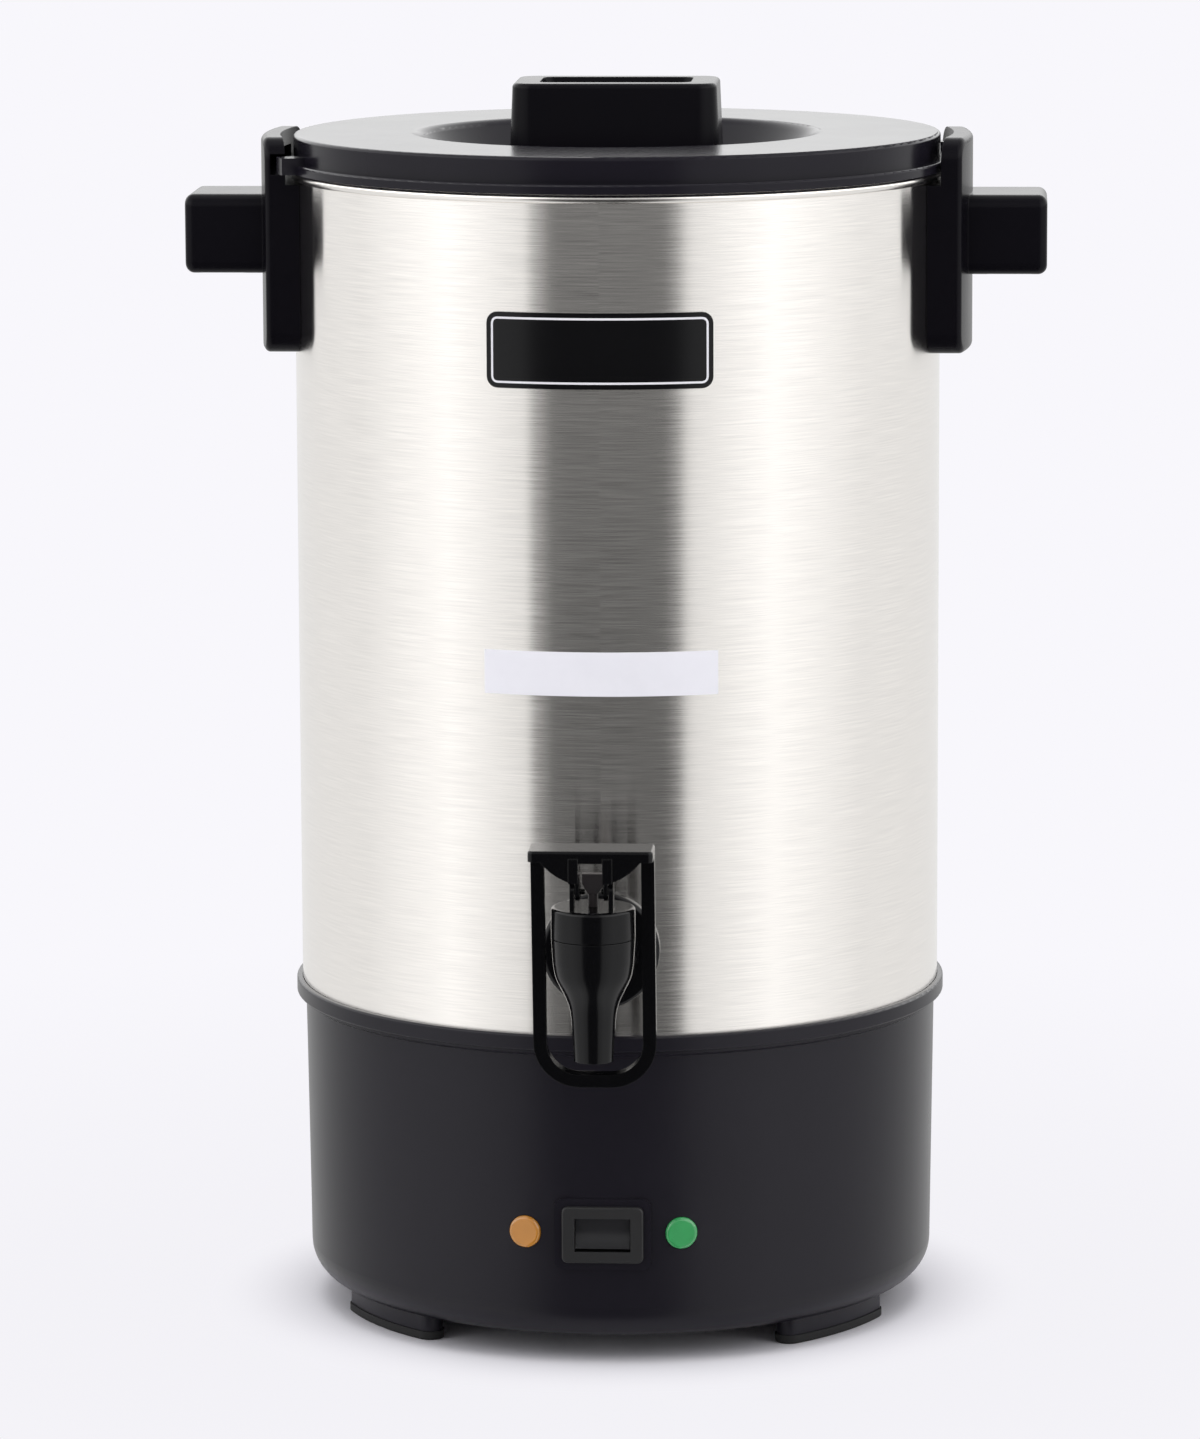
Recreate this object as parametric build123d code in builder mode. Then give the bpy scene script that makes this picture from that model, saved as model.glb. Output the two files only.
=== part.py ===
from build123d import *

import os
from math import cos, radians, sin

# A counter-top percolating coffee urn.
# Millimetres. +Z is up, -Y is the front with the tap, and the origin is on the
# ground under the middle of the round body.

os.makedirs("parts", exist_ok=True)

# ------------------------------------------------------------ driving dimensions
# tank: one drawn steel cylinder, with a floor and a skirt below it
TANK_R = 109.0
TANK_WALL = 1.0
TANK_SKIRT_Z = 107.7
TANK_FLOOR_Z = 118.0
RIM_Z = 389.0
BEAD_R = 1.55
TANK_IN_R = TANK_R - TANK_WALL
FLOOR_TOP_Z = TANK_FLOOR_Z + TANK_WALL

# heater well: a cup in the middle of the floor
WELL_R = 26.0
WELL_BORE_R = 23.5
WELL_BOTTOM_Z = 104.0
WELL_FLANGE_R = 35.0

# base housing: a moulded drum under the tank
BASE_BOTTOM_Z = 8.0
BASE_LOW_R = 106.6
BASE_TOP_R = 107.9
BASE_LIP_R = 111.0
BASE_LIP_Z = 107.2
BASE_TOP_Z = 112.5
BASE_WALL = 2.6
BASE_CORNER_R = 12.0
SHELF_Z = 104.5
SHELF_R = 90.0
NECK_R = 106.2

# feet: four arcs, with a rubber pad under each
FOOT_R = 93.25
FOOT_W = 8.5
FOOT_ARC = 27.0
FOOT_ANGLES = (-144.0, -36.0, 36.0, 144.0)
PAD_T = 3.0

# lid and knob
LID_TOP_Z = 401.0
LID_R = 109.1
LID_RING_R = 111.7
LID_RING_Z = 389.2
LID_RING_T = 3.1
LID_WALL = 2.5
DISH_R = 67.0
DISH_FLOOR_R = 61.0
DISH_FLOOR_Z = 390.0
LUG_R = 116.8
LUG_ANGLE = 18.4
LUG_SPAN = 4.0
LUG_T = 5.6
KNOB_TOP_Z = 418.3
KNOB_W = 71.0
KNOB_D = 42.5
KNOB_DRAFT = 2.5

# handles: the right one is modelled, the left one is the same moulding turned round
HANDLE_R = 120.0
HANDLE_W = 60.0
HANDLE_LOW_Z = 328.5
HANDLE_TOP_Z = 400.8
HANDLE_RIM_R = 113.5
GRIP_LOW_Z = 354.3
GRIP_TOP_Z = 381.0
GRIP_X = 145.0
GRIP_D = 38.0
GROOVE_R = 118.3
GROOVE_LOW_Z = 388.6
GROOVE_TOP_Z = 395.4
GROOVE_END = -8.5
HANDLE_SCREW_ZS = (341.0, 366.0)

# tap
TAP_Z = 141.5
BOWL_Y = -152.0
SHANK_R = 8.0
SHANK_BORE_R = 4.5
BOWL_R = 13.6
BOWL_TOP_Z = 153.8
SPOUT_Z = 113.5
SPOUT_R = 6.4
SPOUT_BORE_R = 4.5
SEAT_Z = 135.5
BONNET_TOP_Z = 164.1
WASHER_R = 19.4
WASHER_FACE_Y = -113.0
POST_IN_X = 3.9
POST_OUT_X = 7.0
PIVOT_Y = -158.5
PIVOT_Z = 170.6
PIVOT_R = 1.5
EAR_R = 3.4
LEVER_TOP_Z = 184.8
LEVER_FRONT_Y = -168.3
LEVER_REAR_Y = -152.3
LEVER_W = 40.1
LEVER_T = 3.5
LOOP_LOW_Z = 103.0
LOOP_LOW_Y = -142.0
LOOP_W = 39.8
LOOP_BAR = 4.3
LOOP_T = 4.0
HOOK_Y = -152.0
HOOK_Z = 168.9
HOOK_R = 0.9
STEM_R = 1.6

# percolator: pump tube, basket and spreader
TUBE_R = 6.35
TUBE_WALL = 0.8
TUBE_TOP_Z = 374.0
FOOT_BELL_R = 22.0
BASKET_R = 60.0
BASKET_LOW_Z = 286.0
BASKET_TOP_Z = 364.0
SLEEVE_R = 6.9

# switch, lamps and inlet, low on the base
PANEL_Z = 45.0
LAMP_ANGLE = 14.0
ROCKER_TILT = 8.0
INLET_Z = 40.0
INLET_Y = 110.9
PRONG_X = 8.75
PRONG_R = 2.4
PRONG_SEAT_R = 3.1

TAP_AXIS = Axis((0, BOWL_Y, 0), (0, 0, 1))

# ------------------------------------------------------------------- the tank
with BuildPart() as tank:
    with BuildSketch(Plane.XZ) as tank_section:
        bead_z = RIM_Z - BEAD_R
        with Locations((TANK_R - TANK_WALL / 2, (TANK_SKIRT_Z + bead_z) / 2)):
            Rectangle(TANK_WALL, bead_z - TANK_SKIRT_Z)
        with Locations(((WELL_R + 0.3 + TANK_IN_R) / 2, TANK_FLOOR_Z + TANK_WALL / 2)):
            Rectangle(TANK_IN_R - WELL_R - 0.3, TANK_WALL)
        with Locations((TANK_R + 1.0 - BEAD_R, bead_z)):
            Circle(BEAD_R)
        corner = tank_section.vertices().sort_by_distance((TANK_IN_R, FLOOR_TOP_Z, 0))
        fillet(corner[0], 5.0)
    revolve(axis=Axis.Z)
    # the hole for the tap
    with BuildSketch(Plane.XZ.offset(TANK_R - 6)):
        with Locations((0, TAP_Z)):
            Circle(SHANK_R + 0.3)
    extrude(amount=12, mode=Mode.SUBTRACT)
    # two screw holes under each handle
    with BuildSketch(Plane.YZ):
        with Locations(*[(0, z) for z in HANDLE_SCREW_ZS]):
            Circle(2.4)
    extrude(amount=TANK_R + 5, both=True, mode=Mode.SUBTRACT)
tank.part.label = "tank"
export_step(tank.part, "parts/tank.step")

# ------------------------------------------- heater well, its gasket and its nut
GASKET_T = 1.5
with BuildPart() as heater_well:
    with BuildSketch(Plane.XZ):
        with BuildLine():
            Polyline(
                (0, WELL_BOTTOM_Z),
                (WELL_R, WELL_BOTTOM_Z),
                (WELL_R, FLOOR_TOP_Z + GASKET_T),
                (WELL_FLANGE_R, FLOOR_TOP_Z + GASKET_T),
                (WELL_FLANGE_R, FLOOR_TOP_Z + GASKET_T + 2),
                (WELL_BORE_R, FLOOR_TOP_Z + GASKET_T + 2),
                (WELL_BORE_R, WELL_BOTTOM_Z + 3),
                (0, WELL_BOTTOM_Z + 3),
                close=True,
            )
        make_face()
    revolve(axis=Axis.Z)
    fillet(heater_well.edges().group_by(Axis.Z)[-1].sort_by(SortBy.LENGTH)[-1], 0.8)
heater_well.part.label = "heater_well"
export_step(heater_well.part, "parts/heater_well.step")

with BuildPart() as well_gasket:
    with BuildSketch(Plane.XY.offset(FLOOR_TOP_Z)):
        Circle(WELL_FLANGE_R - 0.5)
        Circle(WELL_R + 0.3, mode=Mode.SUBTRACT)
    extrude(amount=GASKET_T)
well_gasket.part.label = "well_gasket"
export_step(well_gasket.part, "parts/well_gasket.step")

with BuildPart() as well_nut:
    with BuildSketch(Plane.XY.offset(TANK_FLOOR_Z - 6)):
        RegularPolygon(36.0, 8)
        Circle(WELL_R + 0.1, mode=Mode.SUBTRACT)
    extrude(amount=6)
    chamfer(well_nut.edges().group_by(Axis.Z)[0].filter_by(GeomType.LINE), 0.8)
well_nut.part.label = "well_nut"
export_step(well_nut.part, "parts/well_nut.step")

# ------------------------------------------------------ heating and its controls
BREW_R = 17.0
BREW_TUBE_R = 3.6
BREW_Z = WELL_BOTTOM_Z - BREW_TUBE_R - 0.1
BREW_GAP = 50.0
BREW_ENDS = [
    (BREW_R * cos(radians(turn)), BREW_R * sin(radians(turn))) for turn in (10.0, -BREW_GAP - 10.0)
]
with BuildPart() as brew_heater:
    # a ring of sheathed element pressed under the well, open towards the back
    with BuildSketch(Plane.XZ):
        with Locations((BREW_R, BREW_Z)):
            Circle(BREW_TUBE_R)
    revolve(axis=Axis.Z, revolution_arc=360 - BREW_GAP)
    # both cold ends turn down and end in a pin
    with BuildSketch(Plane.XY.offset(BREW_Z)):
        with Locations(*BREW_ENDS):
            Circle(BREW_TUBE_R - 0.6)
    extrude(amount=-12)
    with BuildSketch(Plane.XY.offset(BREW_Z - 12)):
        with Locations(*BREW_ENDS):
            Circle(1.4)
    extrude(amount=-7)
brew_heater.part.label = "brew_heater"
export_step(brew_heater.part, "parts/brew_heater.step")

WARM_R = 46.0
WARM_TUBE_R = 3.0
with BuildPart() as warm_heater:
    with BuildSketch(Plane.XZ):
        with Locations((WARM_R, TANK_FLOOR_Z - WARM_TUBE_R - 0.1)):
            Circle(WARM_TUBE_R)
    revolve(axis=Axis.Z, revolution_arc=320)
warm_heater.part.label = "warm_heater"
export_step(warm_heater.part, "parts/warm_heater.step")

SENSOR_X = 66.0
with BuildPart() as thermostat:
    with BuildSketch(Plane.XY.offset(TANK_FLOOR_Z - 0.1)):
        with Locations((SENSOR_X, 0)):
            Circle(9)
    extrude(amount=-8)
    with BuildSketch(Plane.XY.offset(TANK_FLOOR_Z - 3)):
        with Locations((SENSOR_X, 0)):
            SlotOverall(34, 10)
            with Locations((-13, 0), (13, 0)):
                Circle(1.7, mode=Mode.SUBTRACT)
    extrude(amount=-1.2)
    with BuildSketch(Plane.XY.offset(TANK_FLOOR_Z - 8.1)):
        with Locations((SENSOR_X, -4), (SENSOR_X, 4)):
            Rectangle(6, 0.8)
    extrude(amount=-9)
thermostat.part.label = "thermostat"
export_step(thermostat.part, "parts/thermostat.step")

with BuildPart() as thermal_cutout:
    with BuildSketch(Plane.XZ.offset(-9)):
        with Locations((-SENSOR_X, TANK_FLOOR_Z - 4.6)):
            Circle(4.5)
    extrude(amount=18)
    for end_y in (9, -21):
        with BuildSketch(Plane.XZ.offset(-end_y - 12)):
            with Locations((-SENSOR_X, TANK_FLOOR_Z - 4.6)):
                Circle(0.9)
        extrude(amount=12)
thermal_cutout.part.label = "thermal_cutout"
export_step(thermal_cutout.part, "parts/thermal_cutout.step")

# ------------------------------------------------------------- the base housing
LUG_HOLE_R = 1.5
BASE_SCREW_R = 80.0
BASE_SCREW_ANGLES = (0.0, 90.0, 180.0, 270.0)
PLATE_R = 88.0
PLATE_T = 2.0
RING_SCREW_R = 99.0
FOOT_TOP_Z = BASE_BOTTOM_Z + 3
with BuildPart() as base_housing:
    with BuildSketch(Plane.XZ) as base_section:
        with BuildLine():
            Polyline(
                (84.0, BASE_BOTTOM_Z + PLATE_T),
                (PLATE_R + 0.2, BASE_BOTTOM_Z + PLATE_T),
                (PLATE_R + 0.2, BASE_BOTTOM_Z),
                (BASE_LOW_R, BASE_BOTTOM_Z),
                (BASE_TOP_R, BASE_LIP_Z - 2.2),
                (BASE_TOP_R + 1.4, BASE_LIP_Z - 1.2),
                (BASE_TOP_R + 1.4, BASE_LIP_Z),
                (BASE_LIP_R, BASE_LIP_Z),
                (BASE_LIP_R, BASE_TOP_Z),
                (TANK_R + 0.15, BASE_TOP_Z),
                (TANK_R + 0.15, TANK_SKIRT_Z - 0.05),
                (NECK_R, TANK_SKIRT_Z - 0.05),
                (NECK_R, SHELF_Z),
                (SHELF_R, SHELF_Z),
                (SHELF_R, SHELF_Z - 2.5),
                (BASE_TOP_R - BASE_WALL, SHELF_Z - 2.5),
                (BASE_LOW_R - BASE_WALL, BASE_BOTTOM_Z + 4),
                (84.0, BASE_BOTTOM_Z + 4),
                close=True,
            )
        make_face()
        corners = base_section.vertices()
        fillet(corners.sort_by_distance((BASE_LOW_R, BASE_BOTTOM_Z, 0))[0], BASE_CORNER_R)
        corners = base_section.vertices()
        fillet(corners.sort_by_distance((BASE_LOW_R - BASE_WALL, BASE_BOTTOM_Z + 4, 0))[0], 7)
        for lip_z, lip_fillet in ((BASE_TOP_Z, 0.8), (BASE_LIP_Z, 0.6)):
            corners = base_section.vertices()
            fillet(corners.sort_by_distance((BASE_LIP_R, lip_z, 0))[0], lip_fillet)
    revolve(axis=Axis.Z)
    # moulded feet
    for angle in FOOT_ANGLES:
        foot_arc = Edge.make_circle(
            FOOT_R, start_angle=angle - FOOT_ARC / 2, end_angle=angle + FOOT_ARC / 2
        )
        with BuildSketch(Plane.XY.offset(PAD_T)):
            SlotArc(foot_arc, FOOT_W)
        extrude(amount=FOOT_TOP_Z - PAD_T)
    # lugs that the bottom plate screws to
    with BuildSketch(Plane.XY.offset(BASE_BOTTOM_Z + PLATE_T)):
        with PolarLocations(0, 4):
            with Locations((BASE_SCREW_R + 3, 0)):
                Rectangle(18, 12)
    extrude(amount=8)
    with BuildSketch(Plane.XY.offset(BASE_BOTTOM_Z + PLATE_T)):
        with PolarLocations(BASE_SCREW_R, 4):
            Circle(LUG_HOLE_R)
    extrude(amount=6.5, mode=Mode.SUBTRACT)
    # holes through the shelf for the tank's screws
    with BuildSketch(Plane.XY.offset(SHELF_Z)):
        with PolarLocations(RING_SCREW_R, 4, start_angle=45):
            Circle(2.15)
    extrude(amount=-3, mode=Mode.SUBTRACT)
    # peg holes in the feet
    with BuildSketch(Plane.XY.offset(PAD_T)):
        with Locations(*[(FOOT_R * cos(radians(a)), FOOT_R * sin(radians(a))) for a in FOOT_ANGLES]):
            Circle(2.1)
    extrude(amount=4.5, mode=Mode.SUBTRACT)
    # flat land and window for the power inlet at the back
    with BuildSketch(Plane.XZ.offset(-108.9)):
        with Locations((0, INLET_Z)):
            RectangleRounded(56, 30, 4)
    extrude(amount=8)
    with BuildSketch(Plane.XZ.offset(-112)):
        with Locations((0, INLET_Z)):
            RectangleRounded(34.4, 18.4, 3)
            with Locations((-21.5, 0), (21.5, 0)):
                Circle(1.4)
    extrude(amount=20, mode=Mode.SUBTRACT)
    # flat land and window for the switch at the front
    with BuildSketch(Plane.XZ.offset(101)):
        with Locations((0, PANEL_Z)):
            RectangleRounded(32, 24, 3)
    extrude(amount=6.6)
    with BuildSketch(Plane.XZ.offset(95)):
        with Locations((0, PANEL_Z)):
            Rectangle(22.3, 13.5)
    extrude(amount=20, mode=Mode.SUBTRACT)
    # seats and holes for the two lamps
    for lamp_turn in (-LAMP_ANGLE, LAMP_ANGLE):
        aim = radians(lamp_turn)
        lamp_plane = Plane(
            origin=(BASE_LOW_R * sin(aim), -BASE_LOW_R * cos(aim), PANEL_Z),
            x_dir=(cos(aim), sin(aim), 0),
            z_dir=(sin(aim), -cos(aim), 0),
        )
        with BuildSketch(lamp_plane):
            Circle(5.6)
        extrude(amount=3, mode=Mode.SUBTRACT)
        with BuildSketch(lamp_plane):
            Circle(4.1)
        extrude(amount=-6, mode=Mode.SUBTRACT)
base_housing.part.label = "base_housing"
export_step(base_housing.part, "parts/base_housing.step")

with BuildPart() as foot_pads:
    for angle in FOOT_ANGLES:
        pad_arc = Edge.make_circle(
            FOOT_R, start_angle=angle - FOOT_ARC / 2, end_angle=angle + FOOT_ARC / 2
        )
        with BuildSketch():
            SlotArc(pad_arc, FOOT_W + 1.0)
        extrude(amount=PAD_T)
    fillet(foot_pads.edges().group_by(Axis.Z)[0], 0.8)
    with BuildSketch(Plane.XY.offset(PAD_T)):
        with Locations(*[(FOOT_R * cos(radians(a)), FOOT_R * sin(radians(a))) for a in FOOT_ANGLES]):
            Circle(2.0)
    extrude(amount=4)
foot_pads.part.label = "foot_pads"
export_step(foot_pads.part, "parts/foot_pads.step")

with BuildPart() as base_plate:
    with BuildSketch(Plane.XY.offset(BASE_BOTTOM_Z)):
        Circle(PLATE_R)
        with PolarLocations(BASE_SCREW_R, 4):
            Circle(LUG_HOLE_R + 0.2, mode=Mode.SUBTRACT)
        with PolarLocations(52, 24):
            Rectangle(22, 3, mode=Mode.SUBTRACT)
    extrude(amount=PLATE_T)
    with BuildSketch(Plane.XY.offset(BASE_BOTTOM_Z + PLATE_T)):
        Circle(28)
        Circle(25.5, mode=Mode.SUBTRACT)
    extrude(amount=3)
base_plate.part.label = "base_plate"
export_step(base_plate.part, "parts/base_plate.step")

with BuildPart() as base_screws:
    with PolarLocations(BASE_SCREW_R, 4):
        with Locations((0, 0, BASE_BOTTOM_Z - 1)):
            Cylinder(3.2, 2)
        with Locations((0, 0, BASE_BOTTOM_Z + 4)):
            Cylinder(LUG_HOLE_R - 0.05, 8)
    fillet(base_screws.edges().group_by(Axis.Z)[0], 0.9)
base_screws.part.label = "base_screws"
export_step(base_screws.part, "parts/base_screws.step")

# ------------------------------------------- ring that fastens tank to the shelf
with BuildPart() as mounting_ring:
    with BuildSketch(Plane.XZ):
        with BuildLine():
            Polyline(
                (SHELF_R + 2, SHELF_Z),
                (NECK_R - 0.1, SHELF_Z),
                (NECK_R - 0.1, TANK_SKIRT_Z),
                (TANK_IN_R - 0.1, TANK_SKIRT_Z),
                (TANK_IN_R - 0.1, TANK_SKIRT_Z + 5.5),
                (TANK_IN_R - 1.4, TANK_SKIRT_Z + 5.5),
                (TANK_IN_R - 1.4, TANK_SKIRT_Z + 1.4),
                (NECK_R - 1.5, TANK_SKIRT_Z + 1.4),
                (NECK_R - 1.5, SHELF_Z + 1.5),
                (SHELF_R + 2, SHELF_Z + 1.5),
                close=True,
            )
        make_face()
    revolve(axis=Axis.Z)
    with BuildSketch(Plane.XY.offset(SHELF_Z)):
        with PolarLocations(RING_SCREW_R, 4, start_angle=45):
            Circle(2.1)
    extrude(amount=4, mode=Mode.SUBTRACT)
mounting_ring.part.label = "mounting_ring"
export_step(mounting_ring.part, "parts/mounting_ring.step")

with BuildPart() as ring_screws:
    with PolarLocations(RING_SCREW_R, 4, start_angle=45):
        with Locations((0, 0, SHELF_Z - 2.5 - 1.3)):
            Cylinder(3.8, 2.6)
        with Locations((0, 0, SHELF_Z + 1)):
            Cylinder(2.0, 8)
ring_screws.part.label = "ring_screws"
export_step(ring_screws.part, "parts/ring_screws.step")

# --------------------------------------------------------------- power inlet
with BuildPart() as power_inlet:
    with BuildSketch(Plane.XZ.offset(-INLET_Y)):
        with Locations((0, INLET_Z)):
            RectangleRounded(50, 24, 4)
            with Locations((-21.5, 0), (21.5, 0)):
                Circle(1.6, mode=Mode.SUBTRACT)
    extrude(amount=2)
    with BuildSketch(Plane.XZ.offset(-INLET_Y)):
        with Locations((0, INLET_Z)):
            RectangleRounded(34, 18, 3)
    extrude(amount=21)
    with BuildSketch(Plane.XZ.offset(-INLET_Y)):
        with Locations((0, INLET_Z)):
            RectangleRounded(30, 14, 2)
    extrude(amount=18.5, mode=Mode.SUBTRACT)
    with BuildSketch(Plane.XZ.offset(-INLET_Y)):
        with Locations((-PRONG_X, INLET_Z), (PRONG_X, INLET_Z)):
            Circle(PRONG_SEAT_R)
    extrude(amount=30, mode=Mode.SUBTRACT)
    fillet(power_inlet.edges().group_by(Axis.Y)[-1].sort_by(SortBy.LENGTH)[-8:], 0.5)
power_inlet.part.label = "power_inlet"
export_step(power_inlet.part, "parts/power_inlet.step")

with BuildPart() as inlet_prongs:
    for prong_x in (-PRONG_X, PRONG_X):
        with BuildSketch(Plane.XZ.offset(-106)):
            with Locations((prong_x, INLET_Z)):
                Circle(PRONG_R)
        extrude(amount=18)
        # shoulder seated in the floor of the shroud
        with BuildSketch(Plane.XZ.offset(18.5 - INLET_Y)):
            with Locations((prong_x, INLET_Z)):
                Circle(PRONG_SEAT_R)
        extrude(amount=4)
        with BuildSketch(Plane.XZ.offset(-88)):
            with Locations((prong_x, INLET_Z)):
                Rectangle(4.4, 0.8)
        extrude(amount=8)
    chamfer(inlet_prongs.edges().group_by(Axis.Y)[-1], 0.8)
inlet_prongs.part.label = "inlet_prongs"
export_step(inlet_prongs.part, "parts/inlet_prongs.step")

with BuildPart() as inlet_screws:
    with BuildSketch(Plane.XZ.offset(-INLET_Y)):
        with Locations((-21.5, INLET_Z), (21.5, INLET_Z)):
            Circle(2.6)
    extrude(amount=-1.4)
    fillet(inlet_screws.edges().group_by(Axis.Y)[-1], 0.6)
    with BuildSketch(Plane.XZ.offset(-INLET_Y)):
        with Locations((-21.5, INLET_Z), (21.5, INLET_Z)):
            Circle(1.35)
    extrude(amount=8)
inlet_screws.part.label = "inlet_screws"
export_step(inlet_screws.part, "parts/inlet_screws.step")

# ------------------------------------------------------------ switch and lamps
BEZEL_Y = -107.6
ROCKER_Y = -105.0
ROCKER_W = 18.0
with BuildPart() as switch_housing:
    with BuildSketch(Plane.XZ.offset(-BEZEL_Y)):
        with Locations((0, PANEL_Z)):
            RectangleRounded(27, 19, 2)
    extrude(amount=1.5)
    fillet(switch_housing.edges().group_by(Axis.Y)[0], 0.6)
    with BuildSketch(Plane.XZ.offset(-BEZEL_Y)):
        with Locations((0, PANEL_Z)):
            Rectangle(22, 13.2)
    extrude(amount=-16)
    with BuildSketch(Plane.XZ.offset(-BEZEL_Y + 2)):
        with Locations((0, PANEL_Z)):
            Rectangle(ROCKER_W + 0.5, 11.2)
    extrude(amount=-12, mode=Mode.SUBTRACT)
    with BuildSketch(Plane.YZ):
        with Locations((ROCKER_Y, PANEL_Z)):
            Circle(1.25)
    extrude(amount=10.3, both=True, mode=Mode.SUBTRACT)
    with BuildSketch(Plane.XZ.offset(-BEZEL_Y - 16)):
        with Locations((-6, PANEL_Z), (6, PANEL_Z)):
            Rectangle(0.8, 6)
    extrude(amount=-7)
switch_housing.part.label = "switch_housing"
export_step(switch_housing.part, "parts/switch_housing.step")

with BuildPart() as switch_rocker:
    rocker_plane = Plane(
        origin=(-ROCKER_W / 2, ROCKER_Y, PANEL_Z),
        x_dir=(0, cos(radians(ROCKER_TILT)), -sin(radians(ROCKER_TILT))),
        z_dir=(1, 0, 0),
    )
    with BuildSketch(rocker_plane):
        with BuildLine():
            front_top = (-3.6, 5.0)
            front_low = (-3.6, -5.0)
            ThreePointArc(front_top, (-2.2, 0), front_low)
            Polyline(front_low, (-1.0, -5.0), (4.5, -2.2), (4.5, 2.2), (-1.0, 5.0), front_top)
        make_face()
    extrude(amount=ROCKER_W)
    with BuildSketch(Plane.YZ):
        with Locations((ROCKER_Y, PANEL_Z)):
            Circle(1.2)
    extrude(amount=10.2, both=True)
switch_rocker.part.label = "switch_rocker"
export_step(switch_rocker.part, "parts/switch_rocker.step")

# two lamps: one while brewing, one when ready
brewing_aim = radians(-LAMP_ANGLE)
brewing_plane = Plane(
    origin=(BASE_LOW_R * sin(brewing_aim), -BASE_LOW_R * cos(brewing_aim), PANEL_Z),
    x_dir=(cos(brewing_aim), sin(brewing_aim), 0),
    z_dir=(sin(brewing_aim), -cos(brewing_aim), 0),
)
with BuildPart() as lamp_brewing:
    with BuildSketch(brewing_plane):
        Circle(5.4)
    extrude(amount=1.6)
    with BuildSketch(brewing_plane):
        Circle(4.0)
    extrude(amount=-9)
    lens_face = lamp_brewing.faces().sort_by_distance(brewing_plane.offset(1.6).origin)[0]
    fillet(lens_face.edges(), 1.2)
lamp_brewing.part.label = "lamp_brewing"
export_step(lamp_brewing.part, "parts/lamp_brewing.step")

ready_aim = radians(LAMP_ANGLE)
ready_plane = Plane(
    origin=(BASE_LOW_R * sin(ready_aim), -BASE_LOW_R * cos(ready_aim), PANEL_Z),
    x_dir=(cos(ready_aim), sin(ready_aim), 0),
    z_dir=(sin(ready_aim), -cos(ready_aim), 0),
)
with BuildPart() as lamp_ready:
    with BuildSketch(ready_plane):
        Circle(5.4)
    extrude(amount=1.6)
    with BuildSketch(ready_plane):
        Circle(4.0)
    extrude(amount=-9)
    lens_face = lamp_ready.faces().sort_by_distance(ready_plane.offset(1.6).origin)[0]
    fillet(lens_face.edges(), 1.2)
lamp_ready.part.label = "lamp_ready"
export_step(lamp_ready.part, "parts/lamp_ready.step")

# ------------------------------------------------------------------- wiring
BLOCK_Y = 40.0
BLOCK_POLES = (-12.0, -4.0, 4.0, 12.0)
with BuildPart() as terminal_block:
    with BuildSketch(Plane.XY.offset(BASE_BOTTOM_Z + PLATE_T)):
        with Locations((0, BLOCK_Y)):
            RectangleRounded(36, 16, 2)
    extrude(amount=12)
    with BuildSketch(Plane.XY.offset(BASE_BOTTOM_Z + PLATE_T + 12)):
        with Locations(*[(x, BLOCK_Y - 5) for x in BLOCK_POLES]):
            Circle(1.8)
    extrude(amount=-6, mode=Mode.SUBTRACT)
terminal_block.part.label = "terminal_block"
export_step(terminal_block.part, "parts/terminal_block.step")

WIRE_R = 1.1
POLE_Z = BASE_BOTTOM_Z + PLATE_T + 12.2
ELEMENT_Z = TANK_FLOOR_Z - WARM_TUBE_R - 0.1
CUTOUT_Z = TANK_FLOOR_Z - 4.6
PIN_Z = BREW_Z - 19.2
SENSOR_Z = TANK_FLOOR_Z - 17.3
warm_end = (WARM_R * cos(radians(-40)), WARM_R * sin(radians(-40)))
wire_routes = (
    # inlet to switch
    ((-8.75, 79.8, 40), (-8.75, 60, 40), (-22, 30, 30), (-22, -50, 30), (-6, -72, 45), (-6, -84.4, 45)),
    # switch to thermal cut-out
    (
        (6, -84.4, 45),
        (6, -70, 45),
        (-40, -50, 70),
        (-SENSOR_X, -38, 98),
        (-SENSOR_X, -32, CUTOUT_Z),
        (-SENSOR_X, -21.2, CUTOUT_Z),
    ),
    # cut-out to thermostat
    (
        (-SENSOR_X, 21.2, CUTOUT_Z),
        (-SENSOR_X, 34, CUTOUT_Z),
        (-50, 46, 88),
        (30, 46, 80),
        (SENSOR_X, 20, 80),
        (SENSOR_X, 4, 88),
        (SENSOR_X, 4, SENSOR_Z),
    ),
    # thermostat to brewing element
    ((SENSOR_X, -4, SENSOR_Z), (SENSOR_X, -4, 86), (48, -4, 68), (BREW_ENDS[0][0], BREW_ENDS[0][1], 64), (*BREW_ENDS[0], PIN_Z)),
    # returns to the terminal block
    ((*BREW_ENDS[1], PIN_Z), (*BREW_ENDS[1], 62), (4, 20, 44), (4, BLOCK_Y, 38), (4, BLOCK_Y, POLE_Z)),
    (
        (warm_end[0] + 0.1, warm_end[1] + 0.12, ELEMENT_Z),
        (warm_end[0] + 6, warm_end[1] + 7.15, ELEMENT_Z),
        (34, -16, 88),
        (30, 24, 68),
        (-4, BLOCK_Y, 56),
        (-4, BLOCK_Y, POLE_Z),
    ),
    (
        (WARM_R, -0.2, ELEMENT_Z),
        (WARM_R, -9, ELEMENT_Z),
        (54, -9, 92),
        (50, 26, 76),
        (-12, 52, 66),
        (-12, BLOCK_Y, 56),
        (-12, BLOCK_Y, POLE_Z),
    ),
    ((8.75, 79.8, 40), (8.75, 64, 40), (12, BLOCK_Y, 40), (12, BLOCK_Y, POLE_Z)),
)
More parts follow.
